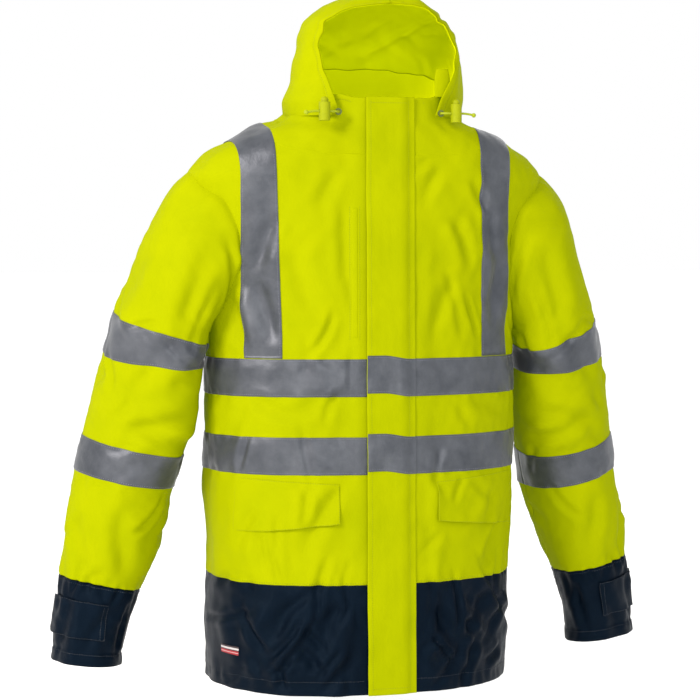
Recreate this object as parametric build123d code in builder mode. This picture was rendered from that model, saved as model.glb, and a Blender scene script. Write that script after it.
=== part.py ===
"""Hooded high-visibility foul weather parka, as it hangs closed on a body: garment panels, reflective tape,
front zip under a storm flap, pockets, sleeves with cuff tabs, and a hood with cord locks.

Millimetres. +Z is up, -Y is the front of the jacket and +X the wearer's left. The origin is the hang loop's
hook point inside the back of the neck. Heights h are measured up from the hem, and HEM turns them into Z.
"""

from build123d import *
import math
import os

# Driving dimensions
HEM = -768.0                  # Z of the hem
SHELL = 3.0                   # outer fabric with its lining, in one wall
SEAM = 0.3                    # half the gap left at a seam between two panels
TAPE_WIDTH = 50.0             # reflective tape
TAPE_LIFT = 0.4               # from the panel to the back of a tape
TAPE_THICK = 0.8
SLEEVE_TAPE_LIFT = 1.1
FRONT_HEM = -162.0            # Y of the centre front at the hem
FRONT_LEAN = 0.015            # how far the straight centre front leans back for each mm of height
ROUNDNESS = 2.3               # exponent of the torso's superellipse sections

HEM_PANEL_TOP = 147.0         # navy below this height, yellow above it
CHEST_TAPE_H = 424.0          # centre heights of the two body tapes
WAIST_TAPE_H = 320.0
BRACE_X = (141.0, 186.0)      # the over-shoulder tapes run between these
COLLAR_FRONT_H = 797.0
COLLAR_BACK_H = 848.0
ZIP_GAP = 9.0                 # half the gap between the front panels
SIDE_SEAM_Y = 10.0            # the side seam at the hem, and how it moves forward with height
SIDE_SEAM_LEAN = 0.087

# Torso and neck: height, half width, Y of the widest point, Y of the back
TORSO = [
    (0, 210, 10, 168), (150, 212, 4, 160), (300, 219, -4, 148), (430, 219, -12, 138),
    (540, 211, -25, 128), (600, 222, -32, 118), (650, 236, -40, 104), (690, 244, -50, 84),
    (716, 226, -58, 56), (735, 196, -64, 34), (750, 165, -67, 20), (766, 124, -70, 12),
    (790, 110, -72, 9), (870, 108, -72, 9),
]
# Hood: height, half width, Y of the front, Y of the widest point, Y of the back
HOOD = [
    (760, 121, -160, -72, 18), (800, 124, -164, -74, 20), (842, 121, -168, -76, 22),
    (880, 106, -168, -80, 14), (908, 88, -164, -86, -6), (928, 62, -154, -94, -36), (940, 30, -128, -100,
                                                                                     -72),
]
# Left sleeve: distance along, X, Y and h of the centre, half width across, half depth front to back
SLEEVE = [
    (0, 150, -38, 668, 60, 60), (68, 205, -36, 628, 83, 72), (140, 247, -28, 562, 70, 79),
    (190, 272, -17, 515, 61, 79), (247, 290, -6, 468, 62, 77), (350, 309, 14, 370, 71, 73),
    (458, 330, 26, 265, 69, 70), (535, 348, 30, 190, 63, 65), (588, 361, 31, 139, 56, 58),
    (638, 370, 31, 90, 52, 54), (699, 378, 30, 30, 50, 51),
    (760, 384, 29, -30, 49, 50),
]
CUFF_SEAM_S = 588.0           # navy cuff panel from here, as a distance along the sleeve
ARM_TAPE_S = 252.0            # centres of the two sleeve tapes
FOREARM_TAPE_S = 424.0
SLEEVE_END_S = 699.0
ARMHOLE_GAP = 1.2             # between the body's armhole edge and the sleeve
TAB_S = 637.0                 # centre of the cuff tab along the sleeve
TAB_WIDTH = 50.0
TAB_ANGLES = (80, 185)        # from its sewn end at the front of the wrist round the outside
FLAP_HALF = 32.5              # storm flap
FLAP_OUT = 3.6
FLAP_THICK = 2.4
FLAP_TAPE_RISE = 5.0          # its tapes sit this much above the body's
ZIP_H = (14.0, 778.0)
ZIP_PITCH = 6.0
ZIP_TOOTH_IN = -1.4           # a tooth reaches this far past the centre
ZIP_TAPE_OUT = 20.0
SNAP_X = -23.0
SNAP_H = (40, 190, 370, 520, 670)
SNAP_RADIUS = 5.5
POUCH_DEPTH = 14.0
HAND_POUCH_X = (70, 186)
HAND_POUCH_H = (100, 286)
HAND_SLIT_X = (80, 176)
HAND_SLIT_H = (264, 276)
HAND_FLAP_X = (66, 198)
HAND_FLAP_H = (226, 290)
CHEST_WELT_X = 47.0           # on the wearer's right
CHEST_WELT_H = (478, 650)
LOOP_SPAN = 30.0
LOOP_WIDTH = 8.0
HOOD_SHELL = 2.4
HOOD_CENTRE = 20.0            # half the hood's centre panel
HOOD_HEM = 14.0
CORD_Y = -161.0
CORD_H = 776.0
CORD_RADIUS = 1.5
EYELET_X = 71.0
LOCK_X = 91.0
HOOD_OPENING = [(0, 920), (50, 914), (84, 896), (99, 866), (93, 832), (76, 797), (66, 770)]


# Smooth shapes from the tables

def eased(rows, key):
    """The rows' other columns at this key, on a monotone cubic through the rows."""
    keys = [row[0] for row in rows]
    key = min(max(key, keys[0]), keys[-1])
    i = max(k for k in range(len(rows) - 1) if keys[k] <= key)

    def secant(k, c):
        return (rows[k + 1][c] - rows[k][c]) / (keys[k + 1] - keys[k])

    def slope(k, c):
        if k == 0 or k == len(rows) - 1:
            return secant(min(k, len(rows) - 2), c)
        a, b = secant(k - 1, c), secant(k, c)
        return 0.0 if a * b <= 0 else 2 * a * b / (a + b)

    width = keys[i + 1] - keys[i]
    t = (key - keys[i]) / width
    out = []
    for c in range(1, len(rows[0])):
        p, q, m, n = rows[i][c], rows[i + 1][c], slope(i, c) * width, slope(i + 1, c) * width
        out.append((2 * t**3 - 3 * t**2 + 1) * p + (t**3 - 2 * t**2 + t) * m
                   + (3 * t**2 - 2 * t**3) * q + (t**3 - t**2) * n)
    return out


def front_y(h):
    return FRONT_HEM + FRONT_LEAN * h


def side_seam_y(h):
    return SIDE_SEAM_Y - SIDE_SEAM_LEAN * h


def ring(half_width, front, widest, back, offset, count=24):
    """Points round a horizontal section, from the centre front, pushed out by offset."""
    points = []
    for k in range(count):
        a = 2 * math.pi * k / count
        s, c = math.sin(a), math.cos(a)
        depth = (widest - front if c > 0 else back - widest) + offset
        x = (half_width + offset) * math.copysign(abs(s) ** (2 / ROUNDNESS), s)
        points.append((x, widest - depth * math.copysign(abs(c) ** (2 / ROUNDNESS), c)))
    return points


def torso_ring(h, offset):
    half_width, widest, back = eased(TORSO, h)
    return ring(half_width, front_y(h), widest, back, offset)


def hood_ring(h, offset):
    half_width, front, widest, back = eased(HOOD, h)
    return ring(half_width, front, widest, back, offset)


def piece(wall, keep, cuts=()):
    """The part of a wall inside every keep solid and outside every cut solid."""
    with BuildPart() as solid:
        add(wall)
        for k in keep:
            add(k, mode=Mode.INTERSECT)
        for c in cuts:
            add(c, mode=Mode.SUBTRACT)
    return solid.part


def stack(section, heights, offset):
    """A solid lofted through horizontal sections at those heights."""
    with BuildPart() as solid:
        for h in heights:
            with BuildSketch(Plane.XY.offset(HEM + h)):
                with BuildLine():
                    Spline(*section(h, offset), periodic=True)
                make_face()
        loft(ruled=True)
    return solid.part


TORSO_HEIGHTS = [0, 80, 150, 220, 300, 365, 430, 485, 540, 575, 605, 630, 655, 676, 694, 706, 716, 726, 735,
                 743,
                 750, 758, 766, 778, 790, 830, 870]
HOOD_HEIGHTS = [776, 800, 822, 842, 862, 880, 896, 908, 919, 928, 935, 940]



def wall_between(section, heights, outer, inner):
    """The wall between two offsets from a stack's outer surface."""
    return piece(stack(section, heights, outer), [],
                 [stack(section, [heights[0] - 10, *heights, heights[-1] + 10], inner)])


def block(x, y, h):
    """A box between pairs of X, Y and height."""
    with BuildPart() as solid:
        with Locations(((x[0] + x[1]) / 2, (y[0] + y[1]) / 2, HEM + (h[0] + h[1]) / 2)):
            Box(x[1] - x[0], y[1] - y[0], h[1] - h[0])
    return solid.part


def prism_yz(points, half_width=400.0):
    """A prism along X over an outline given as (Y, h) corners."""
    with BuildPart() as solid:
        with BuildSketch(Plane.YZ):
            with BuildLine():
                Polyline(*[(y, HEM + h) for y, h in points], close=True)
            make_face()
        extrude(amount=half_width, both=True)
    return solid.part


# Sleeve: tube pieces lofted through sections square to the sleeve's line

def sleeve_plane(s, side):
    """The section plane at a distance along the sleeve; side is 1 for the left arm and -1 for the right."""
    x, y, h, _, _ = eased(SLEEVE, s)
    before, after = eased(SLEEVE, max(s - 6, 0)), eased(SLEEVE, s + 6)
    along = Vector(side * (after[0] - before[0]), after[1] - before[1], after[2] - before[2])
    across = Vector(0, 1, 0).cross(along)
    return Plane(origin=(side * x, y, HEM + h), x_dir=across, z_dir=along)


def sleeve_solid(start, end, offset, side, step=45.0):
    count = max(2, math.ceil((end - start) / step))
    with BuildPart() as solid:
        for k in range(count + 1):
            s = start + (end - start) * k / count
            half_width, half_depth = eased(SLEEVE, s)[3:]
            with BuildSketch(sleeve_plane(s, side)):
                Ellipse(half_width + offset, half_depth + offset)
        loft()
    return solid.part


def sleeve_tube(start, end, outer, inner, side):
    return piece(sleeve_solid(start, end, outer, side), [], [sleeve_solid(start - 5, end + 5, inner, side)])


def mirrored(part):
    with BuildPart() as copy:
        mirror(part, about=Plane.YZ)
    return copy.part


# Cutters and walls that several pieces share

NECKLINE = [(-400, 716), (-150, 722), (-128, 738), (-104, 754), (-70, 764), (0, 772), (400, 776)]
EVERYWHERE = (-400, 400)
above_neckline = prism_yz([*NECKLINE, (400, 1200), (-400, 1200)])
collar_slope = (COLLAR_BACK_H - COLLAR_FRONT_H) / 160
above_collar = prism_yz([(-400, COLLAR_FRONT_H - 250 * collar_slope),
                         (400, COLLAR_BACK_H + 390 * collar_slope),
                         (400, 1300), (-400, 1300)])
below_collar = prism_yz([*[(y, h + 2 * SEAM) for y, h in NECKLINE], (400, -50), (-400, -50)])


def beside_side_seam(gap, far):
    """Everything on one side of the side seams: gap is added to the seam's line, far is the Y of the open side."""
    low, high = -50, 1200
    return prism_yz([(side_seam_y(low) + gap, low), (side_seam_y(high) + gap, high), (far, high),
                     (far, low)])


behind_side_seam = beside_side_seam(SEAM, 400)
before_side_seam = beside_side_seam(-SEAM, -400)
torso_wall = wall_between(torso_ring, TORSO_HEIGHTS, 0, -SHELL)
tape_wall = wall_between(torso_ring, TORSO_HEIGHTS, TAPE_LIFT + TAPE_THICK, TAPE_LIFT)
torso_body = stack(torso_ring, TORSO_HEIGHTS, 0.35)
left_armhole = sleeve_solid(0, 290, ARMHOLE_GAP, 1)
parts = {}


def save(name, part):
    part.label = name
    parts[name] = part


def save_pair(name, part):
    """The left-hand piece and its mirror image for the right."""
    save(f"{name}_left", part)
    save(f"{name}_right", mirrored(part))


# Pockets: an inside pouch reached by a slit in the panel, which a flap or a welt covers

def pouch(x, h, slit_x, slit_h):
    """A flat hollow bag inside the wall, open to the front at the slit."""
    outer = piece(wall_between(torso_ring, TORSO_HEIGHTS, -SHELL - 0.4, -SHELL - POUCH_DEPTH),
                  [block(x, (-400, 0), h)])
    inner_x, inner_h = (x[0] + 1, x[1] - 1), (h[0] + 1, h[1] - 1)
    hollow = piece(wall_between(torso_ring, TORSO_HEIGHTS, -SHELL - 1.4, -SHELL - POUCH_DEPTH + 1),
                   [block(inner_x, (-400, 0), inner_h)])
    way_in = piece(wall_between(torso_ring, TORSO_HEIGHTS, 10, -SHELL - 2),
                   [block(slit_x, (-400, 0), slit_h)])
    return piece(outer, [], [hollow, way_in]), way_in


hand_pouch, hand_slit = pouch(HAND_POUCH_X, HAND_POUCH_H, HAND_SLIT_X, HAND_SLIT_H)
save_pair("hand_pocket_bag", hand_pouch)
chest_slit = block((-CHEST_WELT_X - 1.5, -CHEST_WELT_X + 1.5), (-400, 0),
                   (CHEST_WELT_H[0] + 8, CHEST_WELT_H[1] - 8))

# Body panels

front_left = piece(torso_wall, [block((ZIP_GAP, 400), EVERYWHERE, (HEM_PANEL_TOP + SEAM, 1200)),
                                before_side_seam],
                   [above_neckline, left_armhole, hand_slit])
save("front_panel_left", front_left)
save("front_panel_right", piece(mirrored(front_left), [], [chest_slit]))
save_pair("front_hem_panel", piece(torso_wall,
                                   [block((ZIP_GAP, 400), EVERYWHERE, (-10, HEM_PANEL_TOP - SEAM)),
                                                before_side_seam]))
save("back_panel", piece(torso_wall, [block(EVERYWHERE, EVERYWHERE, (HEM_PANEL_TOP + SEAM, 1200)),
                                      behind_side_seam],
                         [above_neckline, left_armhole, mirrored(left_armhole)]))
save("back_hem_panel", piece(torso_wall, [block(EVERYWHERE, EVERYWHERE, (-10, HEM_PANEL_TOP - SEAM)),
                                          behind_side_seam]))

# Stand collar open at the zip, with a soft lining inside it, and the hang loop at the back of the neck

collar_gap = block((-ZIP_GAP, ZIP_GAP), (-400, -80), (600, 1200))
save("collar", piece(torso_wall, [], [above_collar, below_collar, collar_gap]))
save("collar_lining", piece(wall_between(torso_ring, TORSO_HEIGHTS, -SHELL - 0.3, -SHELL - 1.8), [],
                            [above_collar, below_collar, collar_gap,
                             block((-24, 24), (-400, -80), (600, 1200))]))
with BuildPart() as hang_loop:
    with BuildSketch(Plane.XY.offset(-LOOP_WIDTH / 2)):
        with BuildLine():
            Spline((-LOOP_SPAN, 2.6), (-LOOP_SPAN + 8, 0.5), (0, -4.0), (LOOP_SPAN - 8, 0.5),
                   (LOOP_SPAN, 2.6))
            Spline((LOOP_SPAN, 3.9), (LOOP_SPAN - 8, 2.0), (0, -2.5), (-LOOP_SPAN + 8, 2.0),
                   (-LOOP_SPAN, 3.9))
            Line((-LOOP_SPAN, 2.6), (-LOOP_SPAN, 3.9))
            Line((LOOP_SPAN, 2.6), (LOOP_SPAN, 3.9))
        make_face()
    extrude(amount=LOOP_WIDTH)
save("hang_loop", hang_loop.part)

# Reflective tape on the body

for name, centre in (("chest_tape", CHEST_TAPE_H), ("waist_tape", WAIST_TAPE_H)):
    band_h = (centre - TAPE_WIDTH / 2, centre + TAPE_WIDTH / 2)
    save_pair(name, piece(tape_wall, [block((ZIP_GAP + 1, 400), EVERYWHERE, band_h), before_side_seam]))
    save(f"{name}_back", piece(tape_wall, [block(EVERYWHERE, EVERYWHERE, band_h), behind_side_seam]))
brace_h = (CHEST_TAPE_H + TAPE_WIDTH / 2 + 1, 790)
save_pair("brace_tape", piece(tape_wall, [block(BRACE_X, EVERYWHERE, brace_h)],
                              [above_neckline, sleeve_solid(0, 290, ARMHOLE_GAP + 2, 1)]))


# Front closure. Its pieces are laid out flat, then leaned back with the centre front.

def leaned(x, out, h):
    """A board following the straight centre front: out is how far in front of it, as a pair."""
    return piece(prism_yz([(front_y(h[0]) - out[1], h[0]), (front_y(h[0]) - out[0], h[0]),
                           (front_y(h[1]) - out[0], h[1]), (front_y(h[1]) - out[1], h[1])]),
                 [block(x, (-400, 0), h)])


save("storm_flap", leaned((-FLAP_HALF, FLAP_HALF), (FLAP_OUT, FLAP_OUT + FLAP_THICK), (0, COLLAR_FRONT_H)))
save("storm_flap_seam", leaned((FLAP_HALF + 0.5, FLAP_HALF + 7), (1.4, 2.2), (1, COLLAR_FRONT_H - 4)))
flap_front = FLAP_OUT + FLAP_THICK
for name, centre in (("chest_tape", CHEST_TAPE_H), ("waist_tape", WAIST_TAPE_H)):
    low = centre - TAPE_WIDTH / 2 + FLAP_TAPE_RISE
    save(f"{name}_flap", leaned((-FLAP_HALF + 0.5, FLAP_HALF - 0.5), (flap_front + 0.3, flap_front + 1.1),
                                (low, low + TAPE_WIDTH)))


def zip_half():
    """One side's zip tape with its moulded teeth."""
    tape = leaned((2.0, ZIP_TAPE_OUT), (-SHELL - 2.6, -SHELL - 1.8), ZIP_H)
    count = int((ZIP_H[1] - ZIP_H[0] - 6) / ZIP_PITCH)
    middle = (ZIP_H[0] + ZIP_H[1]) / 2
    places = [(ZIP_TOOTH_IN + 2.5, 0, (k - (count - 1) / 2) * ZIP_PITCH) for k in range(count)]
    with BuildPart() as teeth:
        with Locations(Location((0, front_y(middle) + SHELL + 2.2, HEM + middle),
                                (-math.degrees(math.atan(FRONT_LEAN)), 0, 0))):
            with Locations(*places):
                Box(5.0, 2.6, ZIP_PITCH * 0.4)
    with BuildPart() as half:
        add(tape)
        add(teeth.part)
    return half.part


zip_left = zip_half()
save("zip_half_left", zip_left)
with BuildPart() as zip_right:
    with Locations(mirrored(zip_left).location * Location((0, FRONT_LEAN * ZIP_PITCH / 2, ZIP_PITCH / 2))):
        add(mirrored(zip_left))
save("zip_half_right", zip_right.part)
slider_h = (ZIP_H[1] - 20, ZIP_H[1] - 8)
with BuildPart() as zip_slider:
    add(leaned((-5.5, 5.5), (-SHELL - 0.4, -SHELL + 1.0), slider_h))
    add(leaned((-5.5, 5.5), (-SHELL - 5.2, -SHELL - 4.0), slider_h))
save("zip_slider", zip_slider.part)
save("zip_pull", leaned((-3.5, 3.5), (-SHELL + 1.3, -SHELL + 2.6), (ZIP_H[1] - 44, ZIP_H[1] - 10)))
save("zip_bottom_box", leaned((-5, 5), (-SHELL - 3.6, -SHELL - 0.6), (ZIP_H[0] - 9, ZIP_H[0] - 1)))

for name, out in (("snap_sockets", (0.4, 1.5)), ("snap_studs", (FLAP_OUT - 1.3, FLAP_OUT - 0.2))):
    with BuildPart() as snaps:
        for h in SNAP_H:
            with Locations(Location((SNAP_X, front_y(h) - sum(out) / 2, HEM + h), (90, 0, 0))):
                Cylinder(SNAP_RADIUS, out[1] - out[0])
    save(name, snaps.part)

# Pocket flaps and welt, and the hem label

flap_wall = wall_between(torso_ring, TORSO_HEIGHTS, 4.2, 2.2)
save_pair("hand_pocket_flap", piece(flap_wall, [block(HAND_FLAP_X, (-400, 0), HAND_FLAP_H)]))
save("chest_welt", piece(wall_between(torso_ring, TORSO_HEIGHTS, 2.0, 0.4),
                         [block((-CHEST_WELT_X - 4, -CHEST_WELT_X + 4), (-400, 0), CHEST_WELT_H)]))
save("hem_label", piece(tape_wall, [block((-207, -190), (-400, 0), (48, 60))]))


# Sleeves

def sleeve_band(centre, width, outer, inner):
    return sleeve_tube(centre - width / 2, centre + width / 2, outer, inner, 1)


sleeve = piece(sleeve_tube(0, CUFF_SEAM_S - SEAM, 0, -SHELL, 1), [], [torso_body])
arm_line = [(y, h) for _, _, y, h, _, _ in SLEEVE]
save_pair("sleeve_front", piece(sleeve, [prism_yz([*[(y - SEAM, h) for y, h in arm_line], (-400, -60),
                                                   (-400, 700)])]))
save_pair("sleeve_back", piece(sleeve, [prism_yz([*[(y + SEAM, h) for y, h in arm_line], (400, -60),
                                                  (400, 700)])]))
save_pair("cuff_panel", sleeve_tube(CUFF_SEAM_S + SEAM, SLEEVE_END_S, 0, -SHELL, 1))
for name, centre in (("arm_tape", ARM_TAPE_S), ("forearm_tape", FOREARM_TAPE_S)):
    save_pair(name, sleeve_band(centre, TAPE_WIDTH, SLEEVE_TAPE_LIFT + TAPE_THICK, SLEEVE_TAPE_LIFT))

tab_plane = sleeve_plane(TAB_S, 1)


def cuff_wedge(start, end, reach=120):
    """A wedge of the cuff's circumference; angles run from the inner side of the wrist round the front."""
    points = [(0, 0)]
    for k in range(7):
        a = math.radians(start + (end - start) * k / 6)
        points.append((reach * math.cos(a), -reach * math.sin(a)))
    with BuildPart() as wedge:
        with BuildSketch(tab_plane):
            with BuildLine():
                Polyline(*points, close=True)
            make_face()
        extrude(amount=100, both=True)
    return wedge.part


save_pair("cuff_tab", piece(sleeve_band(TAB_S, TAB_WIDTH, 4.6, 2.4), [cuff_wedge(*TAB_ANGLES)]))
save_pair("cuff_loop_patch", piece(sleeve_band(TAB_S, TAB_WIDTH - 10, 1.4, 0.4), [cuff_wedge(115, 240)]))

# Hood

def opening_prism(grow):
    """The face opening as a prism along Y, made wider and taller by grow."""
    side = [(x + grow * min(x / 50, 1), h + grow * max(0, (h - 860) / 60)) for x, h in HOOD_OPENING]
    with BuildPart() as solid:
        with BuildSketch(Plane.XZ.offset(95)):
            with BuildLine():
                Spline(*[(x, HEM + h) for x, h in [*[(-x, h) for x, h in reversed(side[1:])], *side]])
                Line((-side[-1][0], HEM + side[-1][1]), (-side[-1][0], HEM + 700))
                Line((-side[-1][0], HEM + 700), (side[-1][0], HEM + 700))
                Line((side[-1][0], HEM + 700), (side[-1][0], HEM + side[-1][1]))
            make_face()
        extrude(amount=200)
    return solid.part


def hood_between(outer, inner):
    return piece(stack(hood_ring, HOOD_HEIGHTS, outer), [],
                 [stack(hood_ring, [HOOD_HEIGHTS[0] - 10, *HOOD_HEIGHTS[:-1]], inner)])


hood_wall = hood_between(0, -HOOD_SHELL)
face_opening = opening_prism(0)
save_pair("hood_side", piece(hood_wall, [block((HOOD_CENTRE + SEAM, 400), EVERYWHERE, (700, 1200))],
                             [face_opening]))
save("hood_centre", piece(hood_wall, [block((-HOOD_CENTRE, HOOD_CENTRE), EVERYWHERE, (700, 1200))],
                          [face_opening]))
save("hood_hem", piece(hood_between(1.6, 0.4),
                       [opening_prism(HOOD_HEM), block((-200, 200), (-400, -92), (700, 1200))],
                       [opening_prism(1)]))


# Drawcord at the face opening: eyelet, cord, and a barrel lock with a sprung button, on each side

def upright(x, h, radius, height):
    with BuildPart() as solid:
        with Locations((x, CORD_Y, HEM + h)):
            Cylinder(radius, height)
    return solid.part


def along_cord(x, radius):
    with BuildPart() as solid:
        with Locations(Location(((x[0] + x[1]) / 2, CORD_Y, HEM + CORD_H), (0, 90, 0))):
            Cylinder(radius, x[1] - x[0])
    return solid.part


with BuildPart() as eyelet:
    with Locations(Location((EYELET_X, CORD_Y + 4.0, HEM + CORD_H), (90, 0, 0))):
        Cylinder(4.5, 1.6)
        Cylinder(2.2, 1.6, mode=Mode.SUBTRACT)
save_pair("hood_eyelet", eyelet.part)
with BuildPart() as cord:
    add(along_cord((EYELET_X + 2, LOCK_X + 24), CORD_RADIUS))
    with Locations((LOCK_X + 25, CORD_Y, HEM + CORD_H)):
        Sphere(3.0)
save_pair("hood_cord", cord.part)
barrel = piece(upright(LOCK_X, CORD_H, 7.5, 24), [], [upright(LOCK_X, CORD_H + 3, 5.5, 24),
                                                      along_cord((LOCK_X - 10, LOCK_X + 10), 2.3)])
save_pair("cord_lock", barrel)
with BuildPart() as button_top:
    with Locations((LOCK_X, CORD_Y, HEM + CORD_H + 14.0)):
        Sphere(5.0)
plunger_slot = block((LOCK_X - 9, LOCK_X + 9), (CORD_Y - 2, CORD_Y + 2), (CORD_H - 1.9, CORD_H + 5.9))
with BuildPart() as button:
    add(upright(LOCK_X, CORD_H + 4.75, 5.0, 18.5))
    add(button_top.part)
    add(plunger_slot, mode=Mode.SUBTRACT)
save_pair("cord_lock_button", button.part)

os.makedirs("parts", exist_ok=True)
for name, part in parts.items():
    export_step(part, f"parts/{name}.step")
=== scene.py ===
import math
import bmesh
import bpy
import numpy as np
from mathutils import Matrix, Vector


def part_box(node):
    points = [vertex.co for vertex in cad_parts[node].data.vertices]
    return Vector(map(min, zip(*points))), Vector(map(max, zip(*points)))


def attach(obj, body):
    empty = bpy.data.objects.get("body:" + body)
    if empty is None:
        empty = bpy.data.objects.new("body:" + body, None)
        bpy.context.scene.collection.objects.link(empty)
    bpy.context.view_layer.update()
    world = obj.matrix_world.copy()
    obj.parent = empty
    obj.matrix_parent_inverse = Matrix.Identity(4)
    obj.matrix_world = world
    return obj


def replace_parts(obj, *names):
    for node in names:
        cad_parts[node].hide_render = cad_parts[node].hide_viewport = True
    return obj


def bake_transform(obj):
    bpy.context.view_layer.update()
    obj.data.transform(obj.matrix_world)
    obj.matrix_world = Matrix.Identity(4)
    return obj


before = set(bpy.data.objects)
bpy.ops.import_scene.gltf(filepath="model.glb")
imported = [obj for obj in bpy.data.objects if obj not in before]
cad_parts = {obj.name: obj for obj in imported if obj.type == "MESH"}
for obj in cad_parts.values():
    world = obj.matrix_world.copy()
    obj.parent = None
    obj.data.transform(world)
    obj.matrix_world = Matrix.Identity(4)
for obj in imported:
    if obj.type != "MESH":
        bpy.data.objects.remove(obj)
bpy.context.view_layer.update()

# Everything below is laid out in millimetres, with h measured up from the hem, and turned into the row frame
# (metres, Z = 0 at the hang loop) when a mesh is made.
HEM_TO_LOOP = 768.0
FRONT_HEM, FRONT_LEAN = -162.0, 0.015
ROUNDNESS = 2.3
HEM_PANEL_TOP = 147.0
CHEST_TAPE_H, WAIST_TAPE_H, TAPE_WIDTH = 424.0, 320.0, 50.0
FLAP_HALF, FLAP_OUT, FLAP_THICK = 32.5, 3.6, 2.4
COLLAR_FRONT_H, COLLAR_BACK_H = 797.0, 848.0
CUFF_SEAM_S, SLEEVE_END_S = 588.0, 699.0
ARM_TAPE_S, FOREARM_TAPE_S = 252.0, 424.0
SHELL = 3.0

# Torso and neck: height, half width, Y of the widest point, Y of the back
TORSO = [
    (0, 210, 10, 168), (150, 212, 4, 160), (300, 219, -4, 148), (430, 219, -12, 138),
    (540, 211, -25, 128), (600, 222, -32, 118), (650, 236, -40, 104), (690, 244, -50, 84),
    (716, 226, -58, 56), (735, 196, -64, 34), (750, 165, -67, 20), (766, 124, -70, 12),
    (790, 110, -72, 9), (870, 108, -72, 9),
]
# Hood: distance up its side and over the top, height, half width,
# Y of the front, of the widest point, of the back
HOOD = [
    (0, 772, 121, -160, -72, 16), (30, 802, 124, -164, -74, 20), (70, 842, 122, -168, -76, 22),
    (108, 879, 110, -169, -80, 15), (142, 908, 90, -166, -86, -4), (172, 928, 64, -156, -92, -32),
    (196, 938, 36, -136, -97, -66), (222, 941, 10, -110, -100, -92), (232, 941.3, 0.6, -101, -100, -99.4),
]
HOOD_OPENING = [(770, 66), (797, 76), (832, 93), (866, 99), (896, 84), (908, 64), (914, 48), (918, 24),
                (920, 0.1)]
# Left sleeve: distance along, X, Y and h of the centre, half width across, half depth front to back
SLEEVE = [
    (0, 150, -38, 668, 60, 60), (68, 205, -36, 628, 83, 72), (140, 247, -28, 562, 70, 79),
    (190, 272, -17, 515, 61, 79), (247, 290, -6, 468, 62, 77), (350, 309, 14, 370, 71, 73),
    (458, 330, 26, 265, 69, 70), (535, 348, 30, 190, 63, 65), (588, 361, 31, 139, 56, 58),
    (638, 370, 31, 90, 52, 54), (699, 378, 30, 30, 50, 51), (760, 384, 29, -30, 49, 50),
]
NECKLINE = [(-160, 719), (-150, 722), (-128, 738), (-104, 754), (-70, 764), (0, 772), (40, 774)]


# Numbers to shapes

def eased(rows, key):
    """The rows' other columns at these keys, on a monotone cubic through the rows."""
    rows = np.array(rows, float)
    k, v = rows[:, 0], rows[:, 1:]
    key = np.clip(np.asarray(key, float), k[0], k[-1])
    d = np.diff(v, axis=0) / np.diff(k)[:, None]
    a, b = d[:-1], d[1:]
    inner = np.where(a * b > 0, 2 * a * b / np.where(a + b == 0, 1, a + b), 0)
    m = np.vstack([d[:1], inner, d[-1:]])
    i = np.clip(np.searchsorted(k, key, side="right") - 1, 0, len(k) - 2)
    w = (k[i + 1] - k[i])[..., None]
    t = (key - k[i])[..., None] / w
    out = ((2 * t**3 - 3 * t**2 + 1) * v[i] + (t**3 - 2 * t**2 + t) * m[i] * w
           + (3 * t**2 - 2 * t**3) * v[i + 1] + (t**3 - t**2) * m[i + 1] * w)
    return np.moveaxis(out, -1, 0)


def smooth(t):
    t = np.clip(t, 0, 1)
    return t * t * (3 - 2 * t)


def front_y(h):
    return FRONT_HEM + FRONT_LEAN * h


def side_seam_y(h):
    return 10.0 - 0.087 * h


def section(a, hw, yf, yc, yb):
    s, c = np.sin(a), np.cos(a)
    x = hw * np.sign(s) * np.abs(s) ** (2 / ROUNDNESS)
    depth = np.where(c > 0, yc - yf, yb - yc)
    return x, yc - depth * np.sign(c) * np.abs(c) ** (2 / ROUNDNESS)


def torso(a, h):
    """Points on the body; a is 0 at the centre front and positive round the wearer's left."""
    hw, yc, yb = eased(TORSO, h)
    x, y = section(a, hw, front_y(h), yc, yb)
    return np.stack([x, y, np.broadcast_to(h, x.shape)], -1)


def torso_inside(p):
    """Below 1 inside the body."""
    hw, yc, yb = eased(TORSO, p[..., 2])
    depth = np.where(p[..., 1] < yc, yc - front_y(p[..., 2]), yb - yc)
    return (np.abs(p[..., 0]) / hw) ** ROUNDNESS + (np.abs(p[..., 1] - yc) / depth) ** ROUNDNESS


def angle_at_x(x, h):
    hw = eased(TORSO, h)[0]
    return np.sign(x) * np.arcsin(np.clip(np.abs(x) / hw, 0, 1) ** (ROUNDNESS / 2))


def angle_at_y(y, h):
    """The angle on the left side where the body has this Y."""
    _, yc, yb = eased(TORSO, h)
    depth = np.where(y < yc, yc - front_y(h), yb - yc)
    c = np.clip(np.abs(y - yc) / depth, 0, 1) ** (ROUNDNESS / 2)
    return np.where(y < yc, np.arccos(c), math.pi - np.arccos(c))


def sleeve_frame(s):
    x, y, h, a, b = eased(SLEEVE, s)
    before, after = eased(SLEEVE, s - 8), eased(SLEEVE, s + 8)
    along = np.stack([after[0] - before[0], after[1] - before[1], after[2] - before[2]], -1)
    along /= np.linalg.norm(along, axis=-1, keepdims=True)
    across = np.stack([along[..., 2], 0 * along[..., 2], -along[..., 0]], -1)
    across /= np.linalg.norm(across, axis=-1, keepdims=True)
    back = np.cross(along, across)
    return np.stack([x, y, h], -1), along, across, back, a, b


def sleeve(phi, s):
    """Points on the left sleeve; phi is 0 on the inner side, 90 degrees in front, 180 on the outer side."""
    centre, _, across, back, a, b = sleeve_frame(s)
    return centre + across * (a * np.cos(phi))[..., None] - back * (b * np.sin(phi))[..., None]


def hood(a, t):
    h, hw, yf, yc, yb = eased(HOOD, t)
    x, y = section(a, hw, yf, yc, yb)
    return np.stack([x, y, h], -1)


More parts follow.
